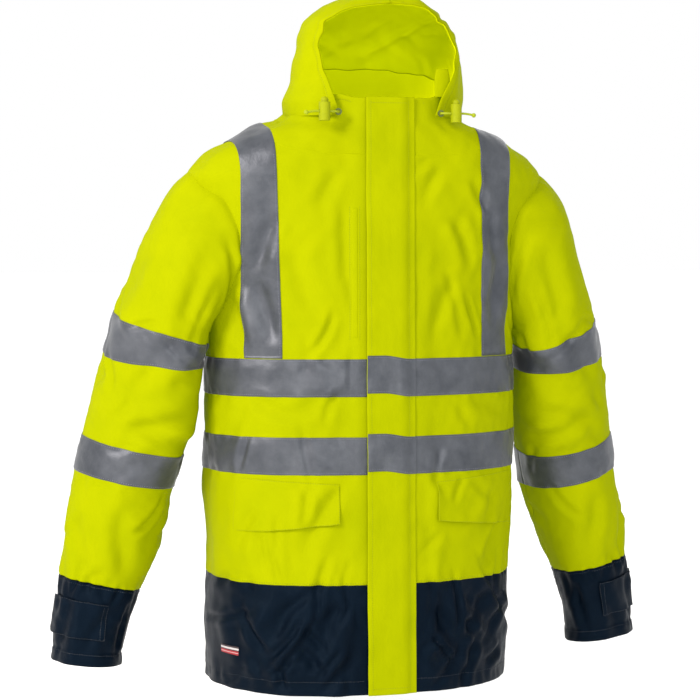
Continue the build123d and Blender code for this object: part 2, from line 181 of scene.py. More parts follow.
def normals(surface, u, v, du=1e-3, dv=0.5):
    """Outward unit normals of a surface function of (angle, length)."""
    pu = surface(u + du, v) - surface(u - du, v)
    pv = surface(u, v + dv) - surface(u, v - dv)
    n = np.cross(pu, pv)
    return n / np.maximum(np.linalg.norm(n, axis=-1, keepdims=True), 1e-9)


# Waves and folds in the cloth

FOLD_GAIN, SLEEVE_FOLD_GAIN = 2.15, 1.6

def waves(p, size, seed, stretch=(1, 1, 1)):
    """Smooth random field of about unit height over points p, with features about size across."""
    rng = np.random.default_rng(seed)
    total = np.zeros(p.shape[:-1])
    q = p * np.array(stretch[:p.shape[-1]]) / size
    for _ in range(9):
        direction = rng.normal(size=p.shape[-1])
        direction *= rng.uniform(3.2, 6.3) / np.linalg.norm(direction)
        total = total + np.sin(q @ direction + rng.uniform(0, 6.28))
    return total / 3.0


def creases(x, h, table):
    """Folds drawn as lines (x0, h0, x1, h1, depth, width, bow): a valley with soft shoulders either side."""
    total = np.zeros(np.broadcast(x, h).shape)
    for x0, h0, x1, h1, depth, width, bow in table:
        length = math.hypot(x1 - x0, h1 - h0)
        ux, uh = (x1 - x0) / length, (h1 - h0) / length
        t = ((x - x0) * ux + (h - h0) * uh) / length
        off = (x - x0) * uh - (h - h0) * ux - bow * length * 4 * t * (1 - t)
        window = smooth(t / 0.3 + 0.15) * smooth((1 - t) / 0.4 + 0.05)
        ridge = np.exp(-((np.abs(off) - 1.9 * width) / (1.1 * width)) ** 2)
        total = total + window * depth * (0.55 * ridge - np.exp(-(off / width) ** 2))
    return total


FRONT_FOLDS = [
    # wearer's left chest, radiating from the collar's corner
    (58, 716, 22, 690, 2.6, 6, 0.06), (72, 704, 40, 640, 1.8, 9, 0.05), (92, 640, 120, 560, 2.4, 8, -0.06),
    (45, 610, 38, 480, 2.6, 9, 0.05), (118, 690, 150, 640, 1.8, 6, 0.0), (150, 660, 168, 560, 2.0, 8, 0.04),
    (96, 560, 60, 470, 1.8, 10, 0.04), (175, 600, 160, 480, 2.2, 9, 0.03),
    # wearer's right chest
    (-70, 700, -100, 640, 1.4, 9, 0.0), (-150, 640, -172, 560, 2.4, 9, 0.05),
    (-130, 600, -95, 500, 1.6, 12, 0.05),
    (-178, 560, -150, 460, 2.2, 9, -0.04), (-60, 660, -56, 520, 1.6, 8, 0.0),
    (-200, 540, -185, 460, 2.6, 8, 0.03),
    # waist and below
    (-60, 285, -120, 180, 2.2, 10, 0.05), (60, 230, 40, 150, 2.0, 10, 0.0),
    (-180, 400, -120, 370, 1.6, 9, 0.05),
    (120, 396, 190, 372, 1.6, 8, 0.03), (-48, 396, -150, 372, 1.4, 9, 0.04), (50, 290, 44, 200, 1.8, 9, 0.02),
    (-175, 220, -150, 150, 2.0, 9, 0.0), (170, 215, 140, 150, 2.0, 9, 0.0),
    # navy hem
    (-60, 130, -110, 20, 3.0, 12, 0.08), (-120, 140, -165, 30, 2.6, 11, 0.05),
    (-30, 120, -60, 10, 2.0, 9, 0.0),
    (60, 135, 110, 40, 2.8, 12, 0.06), (120, 140, 165, 60, 2.4, 10, 0.03), (50, 60, 130, 10, 2.2, 11, 0.05),
    (-190, 120, -160, 20, 2.2, 10, 0.0),
]


def scattered(seed, count, low, high, length, depth, width, lean=(-40, 40)):
    """Short creases placed at random in a box, leaning between two angles from the vertical."""
    rng = np.random.default_rng(seed)
    table = []
    for _ in range(count):
        x, h = rng.uniform(low, high)
        reach, turn = rng.uniform(*length), math.radians(rng.uniform(*lean))
        table.append((x, h, x + reach * math.sin(turn), h - reach * math.cos(turn), rng.uniform(*depth),
                      rng.uniform(*width), rng.uniform(-0.08, 0.08)))
    return table


BACK_FOLDS = [
    (-150, 640, -60, 560, 2.6, 12, 0.06), (150, 640, 60, 560, 2.6, 12, -0.06),
    (-170, 540, -120, 380, 2.4, 12, 0.04),
    (170, 540, 120, 380, 2.4, 12, -0.04), (-60, 520, -40, 330, 2.2, 14, 0.03),
    (70, 500, 40, 320, 2.2, 14, -0.03),
    (-120, 300, -90, 120, 2.8, 14, 0.05), (110, 300, 90, 120, 2.8, 14, -0.05),
    (0, 280, 10, 60, 2.4, 14, 0.02),
    (-170, 200, -150, 20, 2.6, 12, 0.0), (165, 200, 150, 20, 2.6, 12, 0.0), (40, 640, 30, 560, 1.6, 12, 0.0),
]


FRONT_FOLDS += scattered(201, 34, (-195, 150), (195, 700), (40, 120), (0.8, 1.9), (3, 7))
FRONT_FOLDS += scattered(202, 26, (-195, 20), (195, 300), (40, 110), (0.9, 2.0), (3, 7), (-55, 55))
FRONT_FOLDS += scattered(204, 46, (-200, 30), (200, 140), (30, 90), (0.9, 2.2), (3, 7), (-70, 40))
BACK_FOLDS += scattered(207, 30, (-190, 30), (190, 140), (30, 90), (0.8, 1.8), (4, 8), (-60, 60))
BACK_FOLDS += scattered(203, 40, (-190, 40), (190, 700), (50, 140), (0.8, 2.0), (5, 11))


def body_folds(p, n):
    """How far the cloth stands off the plain body along its normal."""
    x, y, h = p[..., 0], p[..., 1], p[..., 2]
    front = smooth((-n[..., 1] + 0.15) / 0.5)
    back = smooth((n[..., 1] + 0.15) / 0.5)
    out = front * creases(x, h, FRONT_FOLDS) + back * creases(x, h, BACK_FOLDS)
    out += 1.5 * waves(p, 150, 3, (1, 1, 0.55)) + 0.55 * waves(p, 46, 5, (1, 1, 0.7))
    out += 0.16 * waves(p, 15, 8, (1, 1, 0.8))
    side = 1 - np.maximum(front, back)
    out += side * 1.6 * waves(p, 60, 12, (1, 1, 0.5))
    for seam in (HEM_PANEL_TOP, CHEST_TAPE_H - 25, CHEST_TAPE_H + 25, WAIST_TAPE_H - 25, WAIST_TAPE_H + 25,
                 14.0):
        near = np.exp(-((h - seam) / 9.0) ** 2)
        out += near * (0.45 * waves(p, 13, 21, (1, 1, 0.25)) - 0.5)
    calm = smooth((np.abs(x) - 40) / 28) * front + (1 - front)
    return FOLD_GAIN * out * (0.12 + 0.88 * calm) * smooth((790 - h) / 40 + 0.3)


SLEEVE_FOLDS = [
    # phi in degrees and distance along: elbow, forearm and armpit folds
    (40, 330, 120, 385, 3.4, 11, 0.10), (30, 372, 105, 345, 3.0, 10, -0.08),
    (60, 190, 120, 330, 3.0, 12, 0.06),
    (20, 230, 75, 300, 3.0, 12, 0.05), (150, 120, 190, 300, 2.0, 16, 0.05),
    (100, 470, 60, 575, 2.8, 12, 0.06),
    (150, 500, 120, 585, 2.4, 12, 0.05), (95, 95, 70, 200, 2.6, 12, 0.04), (200, 480, 180, 580, 2.2, 14, 0.0),
    (230, 200, 260, 330, 2.6, 14, 0.05), (290, 330, 240, 380, 3.0, 12, 0.08),
    (330, 250, 300, 330, 3.0, 12, 0.0),
    (300, 460, 270, 570, 2.6, 12, 0.04), (70, 610, 110, 690, 2.2, 10, 0.05),
    (130, 600, 150, 690, 2.0, 10, 0.0),
    (40, 620, 55, 690, 2.2, 9, 0.0), (250, 600, 230, 690, 2.2, 10, 0.0), (85, 400, 125, 455, 2.0, 9, 0.05),
]


SLEEVE_FOLDS += scattered(205, 30, (10, 90), (350, 560), (40, 110), (0.9, 2.2), (4, 9), (-60, 60))
SLEEVE_FOLDS += scattered(206, 24, (20, 600), (340, 640), (30, 60), (0.9, 1.8), (4, 8), (-40, 40))


def front_fullness(turn, s):
    """The sleeve's slack, which hangs forward and inward over the edge of the body above the elbow."""
    off = np.mod(turn - 52 + 180, 360) - 180
    return 18.0 * np.exp(-(off / 36.0) ** 2) * smooth((s - 130) / 90) * smooth((450 - s) / 110)


def sleeve_folds(phi, s, seed=0):
    turn = np.degrees(np.mod(phi, 2 * math.pi))
    around = turn * 1.22
    table = [(a0 * 1.22, s0, a1 * 1.22, s1, d, w, b) for a0, s0, a1, s1, d, w, b in SLEEVE_FOLDS]
    out = creases(around, s, table)
    q = np.stack([60 * np.cos(phi), 60 * np.sin(phi), np.broadcast_to(s, np.shape(phi)) * 1.0], -1)
    out = out + 1.7 * waves(q, 90, 31 + seed, (1, 1, 0.6)) + 0.7 * waves(q, 34, 33 + seed, (1, 1, 0.7))
    out = out + 0.18 * waves(q, 13, 35 + seed)
    for seam in (CUFF_SEAM_S, ARM_TAPE_S - 25, ARM_TAPE_S + 25, FOREARM_TAPE_S - 25, FOREARM_TAPE_S + 25,
                 683.0):
        near = np.exp(-((s - seam) / 9.0) ** 2)
        out = out + near * (0.45 * waves(q, 12, 36, (1, 1, 0.25)) - 0.5)
    tape = np.exp(-((s - ARM_TAPE_S) / 26.0) ** 4) + np.exp(-((s - FOREARM_TAPE_S) / 26.0) ** 4)
    return SLEEVE_FOLD_GAIN * out * (1 - 0.45 * tape) + front_fullness(turn, s)


# Mesh making

def to_frame(p):
    return np.stack([p[..., 0], p[..., 1], p[..., 2] - HEM_TO_LOOP], -1) / 1000.0


MADE = []


def mesh_object(name, points, faces, uvs=None, material=None):
    mesh = bpy.data.meshes.new(name)
    mesh.from_pydata([tuple(v) for v in points], [], faces)
    if uvs is not None:
        layer = mesh.uv_layers.new(name="cloth")
        loops = np.zeros(len(mesh.loops), dtype=np.int32)
        mesh.loops.foreach_get("vertex_index", loops)
        layer.data.foreach_set("uv", np.asarray(uvs, float)[loops].ravel())
    mesh.polygons.foreach_set("use_smooth", [True] * len(mesh.polygons))
    if material is not None:
        mesh.materials.append(material)
    obj = bpy.data.objects.new(name, mesh)
    bpy.context.scene.collection.objects.link(obj)
    MADE.append(obj)
    return obj


def arc(p, axis):
    step = np.linalg.norm(np.diff(p, axis=axis), axis=-1)
    total = np.cumsum(step, axis=axis)
    return np.concatenate([np.zeros_like(np.take(total, [0], axis=axis)), total], axis=axis)


def slab(name, p, n, material, thick, edge=2.4, lift=0.0, keep=None, rounded=(True, True, True, True),
         mirror=False, lining=None):
    """A sheet of cloth over grid p with normals n: an outer and an inner face, and an edge rolled between them.
    rounded says which borders roll: first and last along the first axis, first and last along the second."""
    if mirror:
        p, n = p * (-1, 1, 1), n * (-1, 1, 1)
    nu, nv = p.shape[:2]
    along, up = arc(p, 0), arc(p, 1)
    gaps = [along if rounded[0] else None, along[-1:] - along if rounded[1] else None,
            up if rounded[2] else None, up[:, -1:] - up if rounded[3] else None]
    profile = np.ones((nu, nv))
    for gap in gaps:
        if gap is not None:
            profile = np.minimum(profile, np.sqrt(np.clip(1 - (1 - np.clip(gap / edge, 0, 1)) ** 2, 0, 1)))
    outer = p + n * (lift + thick * (0.5 + 0.5 * profile))[..., None]
    inner = p + n * (lift + thick * (0.5 - 0.5 * profile))[..., None]
    points = np.concatenate([outer.reshape(-1, 3), inner.reshape(-1, 3)])
    index = np.arange(nu * nv).reshape(nu, nv)
    quads = np.stack([index[:-1, :-1], index[1:, :-1], index[1:, 1:], index[:-1, 1:]], -1)
    mask = np.ones(quads.shape[:2], bool) if keep is None else keep
    good = quads[mask]
    if mirror:
        good = good[:, ::-1]
    faces = [tuple(q) for q in good] + [tuple(q[::-1] + nu * nv) for q in good]
    edges = {}
    for q in good:
        for k in range(4):
            e = (int(q[k]), int(q[(k + 1) % 4]))
            if (e[1], e[0]) in edges:
                del edges[(e[1], e[0])]
            else:
                edges[e] = True
    faces += [(b, a, a + nu * nv, b + nu * nv) for a, b in edges]
    uv = np.stack([along, up], -1).reshape(-1, 2) / 1000.0
    obj = mesh_object(name, to_frame(points), faces, np.concatenate([uv, uv]), material)
    if lining is not None:
        obj.data.materials.append(lining)
        inside = np.zeros(len(faces), dtype=np.int32)
        inside[len(good):2 * len(good)] = 1
        obj.data.polygons.foreach_set("material_index", inside)
    drop_loose(obj)
    obj["cut_m"] = [float(along.max()) / 1000, float(up.max()) / 1000]
    a, b = p[1:, :-1] - p[:-1, :-1], p[:-1, 1:] - p[:-1, :-1]
    obj["area_m2"] = float(np.linalg.norm(np.cross(a, b), axis=-1)[mask].sum()) / 1e6
    return obj


def drop_loose(obj):
    bm = bmesh.new()
    bm.from_mesh(obj.data)
    bmesh.ops.delete(bm, geom=[v for v in bm.verts if not v.link_faces], context="VERTS")
    bm.to_mesh(obj.data)
    bm.free()


def spread(length, step, edge=2.4):
    """Positions from 0 to 1 about step apart, closer together at both ends so that a rolled edge is round."""
    fine = np.array([0.0, 0.08, 0.3, 0.62, 1.0]) * edge
    middle = np.linspace(edge, length - edge, max(2, int((length - 2 * edge) / step) + 1))
    return np.concatenate([fine[:-1], middle, length - fine[:-1][::-1]]) / length


# Materials

def new_material(name):
    mat = bpy.data.materials.new(name)
    mat.use_nodes = True
    nodes, links = mat.node_tree.nodes, mat.node_tree.links
    return mat, nodes, links, nodes["Principled BSDF"]


def node(nodes, kind, **values):
    made = nodes.new(kind)
    for key, value in values.items():
        if key in made.inputs:
            made.inputs[key].default_value = value
        else:
            setattr(made, key, value)
    return made


def cloth_material(name, low, high, roughness=0.62, thread=0.0009, weave=0.25, sheen=0.25, grain=0.08,
                   painted_glow=0.0,
                   specular=0.3):
    """Woven cloth: two crossing sets of threads from the cloth's own coordinates, with slow shade changes."""
    mat, nodes, links, bsdf = new_material(name)
    uv = node(nodes, "ShaderNodeUVMap", uv_map="cloth")
    heights = []
    for axis in ("X", "Y"):
        wave = node(nodes, "ShaderNodeTexWave", wave_type="BANDS", bands_direction=axis, wave_profile="SIN",
                    Scale=math.pi / 10 / thread, Distortion=0.6, Detail=1.0)
        links.new(uv.outputs["UV"], wave.inputs["Vector"])
        heights.append(wave)
    mix = node(nodes, "ShaderNodeMath", operation="MAXIMUM")
    links.new(heights[0].outputs["Fac"], mix.inputs[0])
    links.new(heights[1].outputs["Fac"], mix.inputs[1])
    coords = node(nodes, "ShaderNodeTexCoord")
    mottle = node(nodes, "ShaderNodeTexNoise", Scale=14.0, Detail=5.0, Roughness=0.6)
    links.new(coords.outputs["Object"], mottle.inputs["Vector"])
    fine = node(nodes, "ShaderNodeTexNoise", Scale=900.0, Detail=3.0, Roughness=0.7)
    links.new(coords.outputs["Object"], fine.inputs["Vector"])
    ramp = node(nodes, "ShaderNodeValToRGB")
    ramp.color_ramp.elements[0].position, ramp.color_ramp.elements[0].color = 0.3, (*low, 1)
    ramp.color_ramp.elements[1].position, ramp.color_ramp.elements[1].color = 0.7, (*high, 1)
    blend = node(nodes, "ShaderNodeMix", data_type="FLOAT")
    blend.inputs["Factor"].default_value = grain * 4
    links.new(mottle.outputs["Fac"], blend.inputs[2])
    links.new(fine.outputs["Fac"], blend.inputs[3])
    links.new(blend.outputs[0], ramp.inputs["Fac"])
    links.new(ramp.outputs["Color"], bsdf.inputs["Base Color"])
    bump = node(nodes, "ShaderNodeBump", Strength=weave, Distance=0.0003)
    links.new(mix.outputs[0], bump.inputs["Height"])
    soft = node(nodes, "ShaderNodeTexNoise", Scale=55.0, Detail=4.0, Roughness=0.55)
    links.new(coords.outputs["Object"], soft.inputs["Vector"])
    bump2 = node(nodes, "ShaderNodeBump", Strength=0.22, Distance=0.0015)
    links.new(soft.outputs["Fac"], bump2.inputs["Height"])
    links.new(bump.outputs["Normal"], bump2.inputs["Normal"])
    links.new(bump2.outputs["Normal"], bsdf.inputs["Normal"])
    bsdf.inputs["Roughness"].default_value = roughness
    bsdf.inputs["Sheen Weight"].default_value = sheen
    bsdf.inputs["Sheen Roughness"].default_value = 0.45
    bsdf.inputs["Specular IOR Level"].default_value = specular
    # Painted glow: cloth that is no lamp gives off a faint greenish light, standing in for light bounced
    # between folds and for light falling into shaded hollows.
    if painted_glow:
        bsdf.inputs["Emission Color"].default_value = (0.30, 0.52, 0.0, 1)
        bsdf.inputs["Emission Strength"].default_value = painted_glow
    return mat


def tape_material():
    """Grey retroreflective tape: glass beads under a faint diagonal emboss, a little worn."""
    mat, nodes, links, bsdf = new_material("reflective_tape")
    coords = node(nodes, "ShaderNodeTexCoord")
    uv = node(nodes, "ShaderNodeUVMap", uv_map="cloth")
    beads = node(nodes, "ShaderNodeTexVoronoi", Scale=1600.0)
    links.new(uv.outputs["UV"], beads.inputs["Vector"])
    cloud = node(nodes, "ShaderNodeTexNoise", Scale=22.0, Detail=6.0, Roughness=0.65)
    links.new(coords.outputs["Object"], cloud.inputs["Vector"])
    ramp = node(nodes, "ShaderNodeValToRGB")
    ramp.color_ramp.elements[0].position, ramp.color_ramp.elements[0].color = 0.3, (0.034, 0.040, 0.050, 1)
    ramp.color_ramp.elements[1].position, ramp.color_ramp.elements[1].color = 0.72, (0.078, 0.086, 0.100, 1)
    links.new(cloud.outputs["Fac"], ramp.inputs["Fac"])
    links.new(ramp.outputs["Color"], bsdf.inputs["Base Color"])
    rough = node(nodes, "ShaderNodeMapRange")
    rough.inputs["To Min"].default_value, rough.inputs["To Max"].default_value = 0.38, 0.52
    links.new(cloud.outputs["Fac"], rough.inputs["Value"])
    links.new(rough.outputs["Result"], bsdf.inputs["Roughness"])
    bump = node(nodes, "ShaderNodeBump", Strength=0.25, Distance=0.0002)
    links.new(beads.outputs["Distance"], bump.inputs["Height"])
    wrinkle = node(nodes, "ShaderNodeTexNoise", Scale=70.0, Detail=5.0, Roughness=0.6)
    links.new(coords.outputs["Object"], wrinkle.inputs["Vector"])
    bump2 = node(nodes, "ShaderNodeBump", Strength=0.45, Distance=0.0016)
    links.new(wrinkle.outputs["Fac"], bump2.inputs["Height"])
    links.new(bump.outputs["Normal"], bump2.inputs["Normal"])
    links.new(bump2.outputs["Normal"], bsdf.inputs["Normal"])
    bsdf.inputs["Metallic"].default_value = 0.55
    bsdf.inputs["Sheen Weight"].default_value = 0.1
    return mat


def plain_material(name, low, high, roughness, metallic=0.0, scale=60.0, bump_strength=0.15):
    """Moulded plastic or metal with slow shade changes, fine scratches and scuffing."""
    mat, nodes, links, bsdf = new_material(name)
    coords = node(nodes, "ShaderNodeTexCoord")
    noise = node(nodes, "ShaderNodeTexNoise", Scale=scale, Detail=6.0, Roughness=0.6)
    links.new(coords.outputs["Object"], noise.inputs["Vector"])
    ramp = node(nodes, "ShaderNodeValToRGB")
    ramp.color_ramp.elements[0].position, ramp.color_ramp.elements[0].color = 0.3, (*low, 1)
    ramp.color_ramp.elements[1].position, ramp.color_ramp.elements[1].color = 0.7, (*high, 1)
    links.new(noise.outputs["Fac"], ramp.inputs["Fac"])
    links.new(ramp.outputs["Color"], bsdf.inputs["Base Color"])
    rough = node(nodes, "ShaderNodeMapRange")
    rough.inputs["To Min"].default_value, rough.inputs["To Max"].default_value = roughness, roughness + 0.16
    links.new(noise.outputs["Fac"], rough.inputs["Value"])
    links.new(rough.outputs["Result"], bsdf.inputs["Roughness"])
    fine = node(nodes, "ShaderNodeTexNoise", Scale=scale * 12, Detail=3.0)
    links.new(coords.outputs["Object"], fine.inputs["Vector"])
    bump = node(nodes, "ShaderNodeBump", Strength=bump_strength, Distance=0.0002)
    links.new(fine.outputs["Fac"], bump.inputs["Height"])
    links.new(bump.outputs["Normal"], bsdf.inputs["Normal"])
    bsdf.inputs["Metallic"].default_value = metallic
    return mat


# The shell yellow has a faint painted greenish glow, standing in for light bounced between its folds.
YELLOW = cloth_material("shell_yellow", (0.222, 0.252, 0.0), (0.262, 0.286, 0.0), roughness=0.66, sheen=0.0,
                        painted_glow=0.10,
                        specular=0.01)
# A brighter copy of the shell yellow with a stronger painted glow: painted light on the inside of the hood and
# the collar lining, which are the same yellow cloth with light falling in from the front.
PAINTED_LIGHT_YELLOW = cloth_material("hood_inside_painted_light_yellow", (0.57, 0.60, 0.0), (0.65, 0.68, 0.0), roughness=0.66, sheen=0.0,
                        painted_glow=0.17,
                        specular=0.01)
NAVY = cloth_material("shell_navy", (0.0003, 0.0016, 0.0046), (0.0012, 0.0040, 0.0090), roughness=0.42,
                      thread=0.0016,
                      weave=0.7, sheen=0.0, specular=0.075)
NAVY.node_tree.nodes["Principled BSDF"].inputs["Specular Tint"].default_value = (0.42, 0.68, 1.0, 1)
LINING = cloth_material("lining_navy", (0.010, 0.014, 0.026), (0.018, 0.025, 0.042), roughness=0.8, sheen=0.3)
TAPE = tape_material()
THREAD_YELLOW = cloth_material("thread_yellow", (0.20, 0.25, 0.0), (0.25, 0.29, 0.0), thread=0.0004,
                               sheen=0.0)
THREAD_GREY = cloth_material("thread_grey", (0.10, 0.11, 0.14), (0.15, 0.16, 0.19), thread=0.0004)
THREAD_NAVY = cloth_material("thread_navy", (0.006, 0.011, 0.020), (0.013, 0.021, 0.034), thread=0.0004,
                             specular=0.05)
LOCK = plain_material("lock_plastic", (0.20, 0.235, 0.0), (0.24, 0.27, 0.0), 0.5)
LOCK.node_tree.nodes["Principled BSDF"].inputs["Specular IOR Level"].default_value = 0.12
EYELET = plain_material("eyelet_enamel", (0.06, 0.08, 0.01), (0.10, 0.13, 0.02), 0.35, metallic=0.4)
CORD = cloth_material("cord_yellow", (0.20, 0.25, 0.0), (0.26, 0.31, 0.0), thread=0.0012, weave=0.9,
                      sheen=0.0)
HOOK = cloth_material("loop_pile", (0.008, 0.012, 0.022), (0.02, 0.028, 0.045), roughness=0.9, thread=0.0007,
                      weave=1.0, sheen=0.4)
METAL = plain_material("zip_metal", (0.35, 0.35, 0.36), (0.5, 0.5, 0.5), 0.3, metallic=1.0, scale=180)
MOULDING = plain_material("zip_moulding", (0.02, 0.03, 0.05), (0.04, 0.05, 0.08), 0.45)


# Body panels

def torso_grid(us, vs, left, right, low, high):
    """A grid over the body between two angle functions of height and two height functions of angle."""
    u, v = np.meshgrid(us, vs, indexing="ij")
    h = np.full(u.shape, 400.0)
    for _ in range(12):
        a = left(h) + (right(h) - left(h)) * u
        h = low(a, h) + (high(a, h) - low(a, h)) * v
    p = torso(a, h)
    n = normals(torso, a, h)
    return p, n, a, h


def neck_height(a, h):
    y = torso(a, h)[..., 1]
    return np.interp(y, [q[0] for q in NECKLINE], [q[1] for q in NECKLINE]) - 0.3


def level(value):
    return lambda a, h: np.full(np.shape(a), float(value))


def at_x(x):
    return lambda h: angle_at_x(x, h)


def at_side(gap):
    return lambda h: angle_at_y(side_seam_y(h) + gap, h)


def crowded(vs, power):
    """Rows brought closer together towards the top."""
    return 1 - (1 - vs) ** power


def sleeve_ratio(p):
    """Below 1 inside the left or right sleeve."""
    q = p * np.array([1, 1, 1])
    q[..., 0] = np.abs(q[..., 0])
    best = np.full(q.shape[:-1], 9.0)
    for s in np.arange(0, 300, 8.0):
        centre, along, across, back, a, b = sleeve_frame(np.array(s))
        rel = q - centre
        near = np.abs(rel @ along) < 9
        ratio = np.sqrt(((rel @ across) / a) ** 2 + ((rel @ back) / b) ** 2)
        best = np.where(near, np.minimum(best, ratio), best)
    return best


def cells(values):
    return (values[:-1, :-1] + values[1:, :-1] + values[1:, 1:] + values[:-1, 1:]) / 4


def torso_piece(name, us, vs, left, right, low, high, material, thick, lift, edge=2.4, holes=False,
                mirror=False,
                lining=None):
    p, n, a, h = torso_grid(us, vs, left, right, low, high)
    if mirror:
        world, wn = p * (-1, 1, 1), n * (-1, 1, 1)
        shift = body_folds(world, wn)
    else:
        shift = body_folds(p, n)
    keep = cells(sleeve_ratio(p)) > 0.9 if holes else None
    return slab(name, p + n * shift[..., None], n, material, thick, edge, lift, keep, mirror=mirror,
                lining=lining)


SEAM_LAP = 1.6
up_rows = crowded(spread(625, 4.2), 1.45)
for side, mirror in (("left", False), ("right", True)):
    obj = torso_piece(f"front_panel_{side}", spread(330, 4.0), up_rows, at_x(9.0), at_side(SEAM_LAP),
                      level(HEM_PANEL_TOP + 0.4), neck_height, YELLOW, SHELL, -SHELL, holes=True,
                      mirror=mirror,
                      lining=LINING)
    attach(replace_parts(obj, f"front_panel_{side}"), "garment")
    obj = torso_piece(f"front_hem_panel_{side}", spread(330, 4.0), spread(147, 4.0), at_x(9.0),
                      at_side(SEAM_LAP),
                      level(0), level(HEM_PANEL_TOP + SEAM_LAP), NAVY, SHELL, -SHELL - 0.5, mirror=mirror,
                      lining=LINING)
    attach(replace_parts(obj, f"front_hem_panel_{side}"), "garment")
side_left = at_side(-SEAM_LAP)


def side_right(h):
    return 2 * math.pi - angle_at_y(side_seam_y(h) - SEAM_LAP, h)


obj = torso_piece("back_panel", spread(650, 4.6), up_rows, side_left, side_right, level(HEM_PANEL_TOP + 0.4),
                  neck_height, YELLOW, SHELL, -SHELL, holes=True, lining=LINING)
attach(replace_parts(obj, "back_panel"), "garment")
obj = torso_piece("back_hem_panel", spread(650, 4.6), spread(147, 4.0), side_left, side_right, level(0),
                  level(HEM_PANEL_TOP + SEAM_LAP), NAVY, SHELL, -SHELL - 0.5, lining=LINING)
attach(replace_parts(obj, "back_hem_panel"), "garment")

# Reflective tape round the body and over the shoulders
for name, centre in (("chest_tape", CHEST_TAPE_H), ("waist_tape", WAIST_TAPE_H)):
    low, high = level(centre - TAPE_WIDTH / 2), level(centre + TAPE_WIDTH / 2)
    for side, mirror in (("left", False), ("right", True)):
        obj = torso_piece(f"{name}_{side}", spread(330, 3.6, 0.9), spread(50, 3.0, 0.9), at_x(10.0),
                          at_side(-0.4), low,
                          high, TAPE, 1.0, 0.1, edge=0.9, mirror=mirror)
        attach(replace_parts(obj, f"{name}_{side}"), "garment")
    obj = torso_piece(f"{name}_back", spread(650, 4.4, 0.9), spread(50, 3.0, 0.9), side_left, side_right, low,
                      high,
                      TAPE, 1.0, 0.1, edge=0.9)
    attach(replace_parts(obj, f"{name}_back"), "garment")


def brace_lean(h, flip):
    """How far the over-shoulder tape leans to the wearer's right at height h, in its own side's X."""
    return -9.0 * flip * smooth((h - 470) / 270)


def brace_grid(flip):
    """The over-shoulder tape: up the front, over the shoulder and down the back."""
    xs = 141.0 + 45.0 * spread(45, 3.2, 0.9)
    top = []
    for x in xs + brace_lean(735.0, flip):
        hs = np.linspace(600, 768, 600)
        widths = eased(TORSO, hs)[0]
        top.append(hs[np.argmin(np.abs(widths - x - 0.05))])
    rows = []
    base = CHEST_TAPE_H + TAPE_WIDTH / 2 + 1
    ramp = 1 - (1 - np.linspace(0, 1, 110)) ** 1.8
    for x, t in zip(xs, top):
        h = base + (t - base) * ramp
        a = angle_at_x(x + brace_lean(h, flip), h)
        front = np.stack([a, h], -1)
        back = np.stack([math.pi - a[:-1][::-1], h[:-1][::-1]], -1)
        rows.append(np.concatenate([front, back]))
    grid = np.array(rows)
    return grid[..., 0], grid[..., 1]


for side, mirror in (("left", False), ("right", True)):
    a, h = brace_grid(-1 if mirror else 1)
    p, n = torso(a, h), normals(torso, a, h)
    flip = np.array([-1, 1, 1]) if mirror else np.array([1, 1, 1])
    shift = body_folds(p * flip, n * flip)
    obj = slab(f"brace_tape_{side}", p + n * shift[..., None], n, TAPE, 1.1, 0.9, 0.4, mirror=mirror)
    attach(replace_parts(obj, f"brace_tape_{side}"), "garment")


# Stitching: short thread dashes laid along a line on the cloth

def stitch_row(points, n, radius=0.42, length=2.3, pitch=3.3):
    """Vertices and faces of the dashes along one line of points with normals."""
    step = np.linalg.norm(np.diff(points, axis=0), axis=1)
    total = np.concatenate([[0], np.cumsum(step)])
    count = int(total[-1] / pitch)
    if count < 1:
        return np.zeros((0, 3)), []
    starts = (np.arange(count) + 0.2) * pitch

    def at(d):
        return np.stack([np.interp(d, total, points[:, c]) for c in range(3)], -1)

    a, b = at(starts), at(starts + length)
    nn = np.stack([np.interp(starts, total, n[:, c]) for c in range(3)], -1)
    side = np.cross(b - a, nn)
    side /= np.maximum(np.linalg.norm(side, axis=-1, keepdims=True), 1e-9)
    middle = (a + b) / 2
    ring = [middle + side * radius, middle + nn * radius, middle - side * radius, middle - nn * radius * 0.4]
    verts = np.stack([a - nn * 0.2, b - nn * 0.2, *ring], 1).reshape(-1, 3)
    faces = []
    for k in range(count):
        o = 6 * k
        for q in range(4):
            w = (q + 1) % 4
            faces += [(o, o + 2 + q, o + 2 + w), (o + 1, o + 2 + w, o + 2 + q)]
    return verts, faces


def stitching(name, rows, material, body):
    verts, faces, base = [], [], 0
    for points, n in rows:
        v, f = stitch_row(points, n)
        verts.append(v)
        faces += [tuple(i + base for i in face) for face in f]
        base += len(v)
    verts = np.concatenate(verts)
    obj = mesh_object(name, to_frame(verts), faces, verts[:, :2] / 1000, material)
    if body:
        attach(obj, body)
    return obj


def body_line(a, h, lift, flip=1):
    """A line on the body's cloth at angle and height arrays, raised by lift; flip -1 is the right side."""
    p, n = torso(a, h), normals(torso, a, h)
    p, n = p * (flip, 1, 1), n * (flip, 1, 1)
    return p + n * (body_folds(p, n) + lift)[:, None], n


def level_line(h, x0, side_gap, lift, flip=1):
    hs = np.full(160, float(h))
    a0, a1 = angle_at_x(x0, hs[:1])[0], angle_at_y(side_seam_y(hs[:1]) - side_gap, hs[:1])[0]
    return body_line(np.linspace(a0, a1, 160), hs, lift, flip)


def upright_line(x, h0, h1, lift, flip=1):
    hs = np.linspace(h0, h1, 200)
    return body_line(angle_at_x(x, hs), hs, lift, flip)


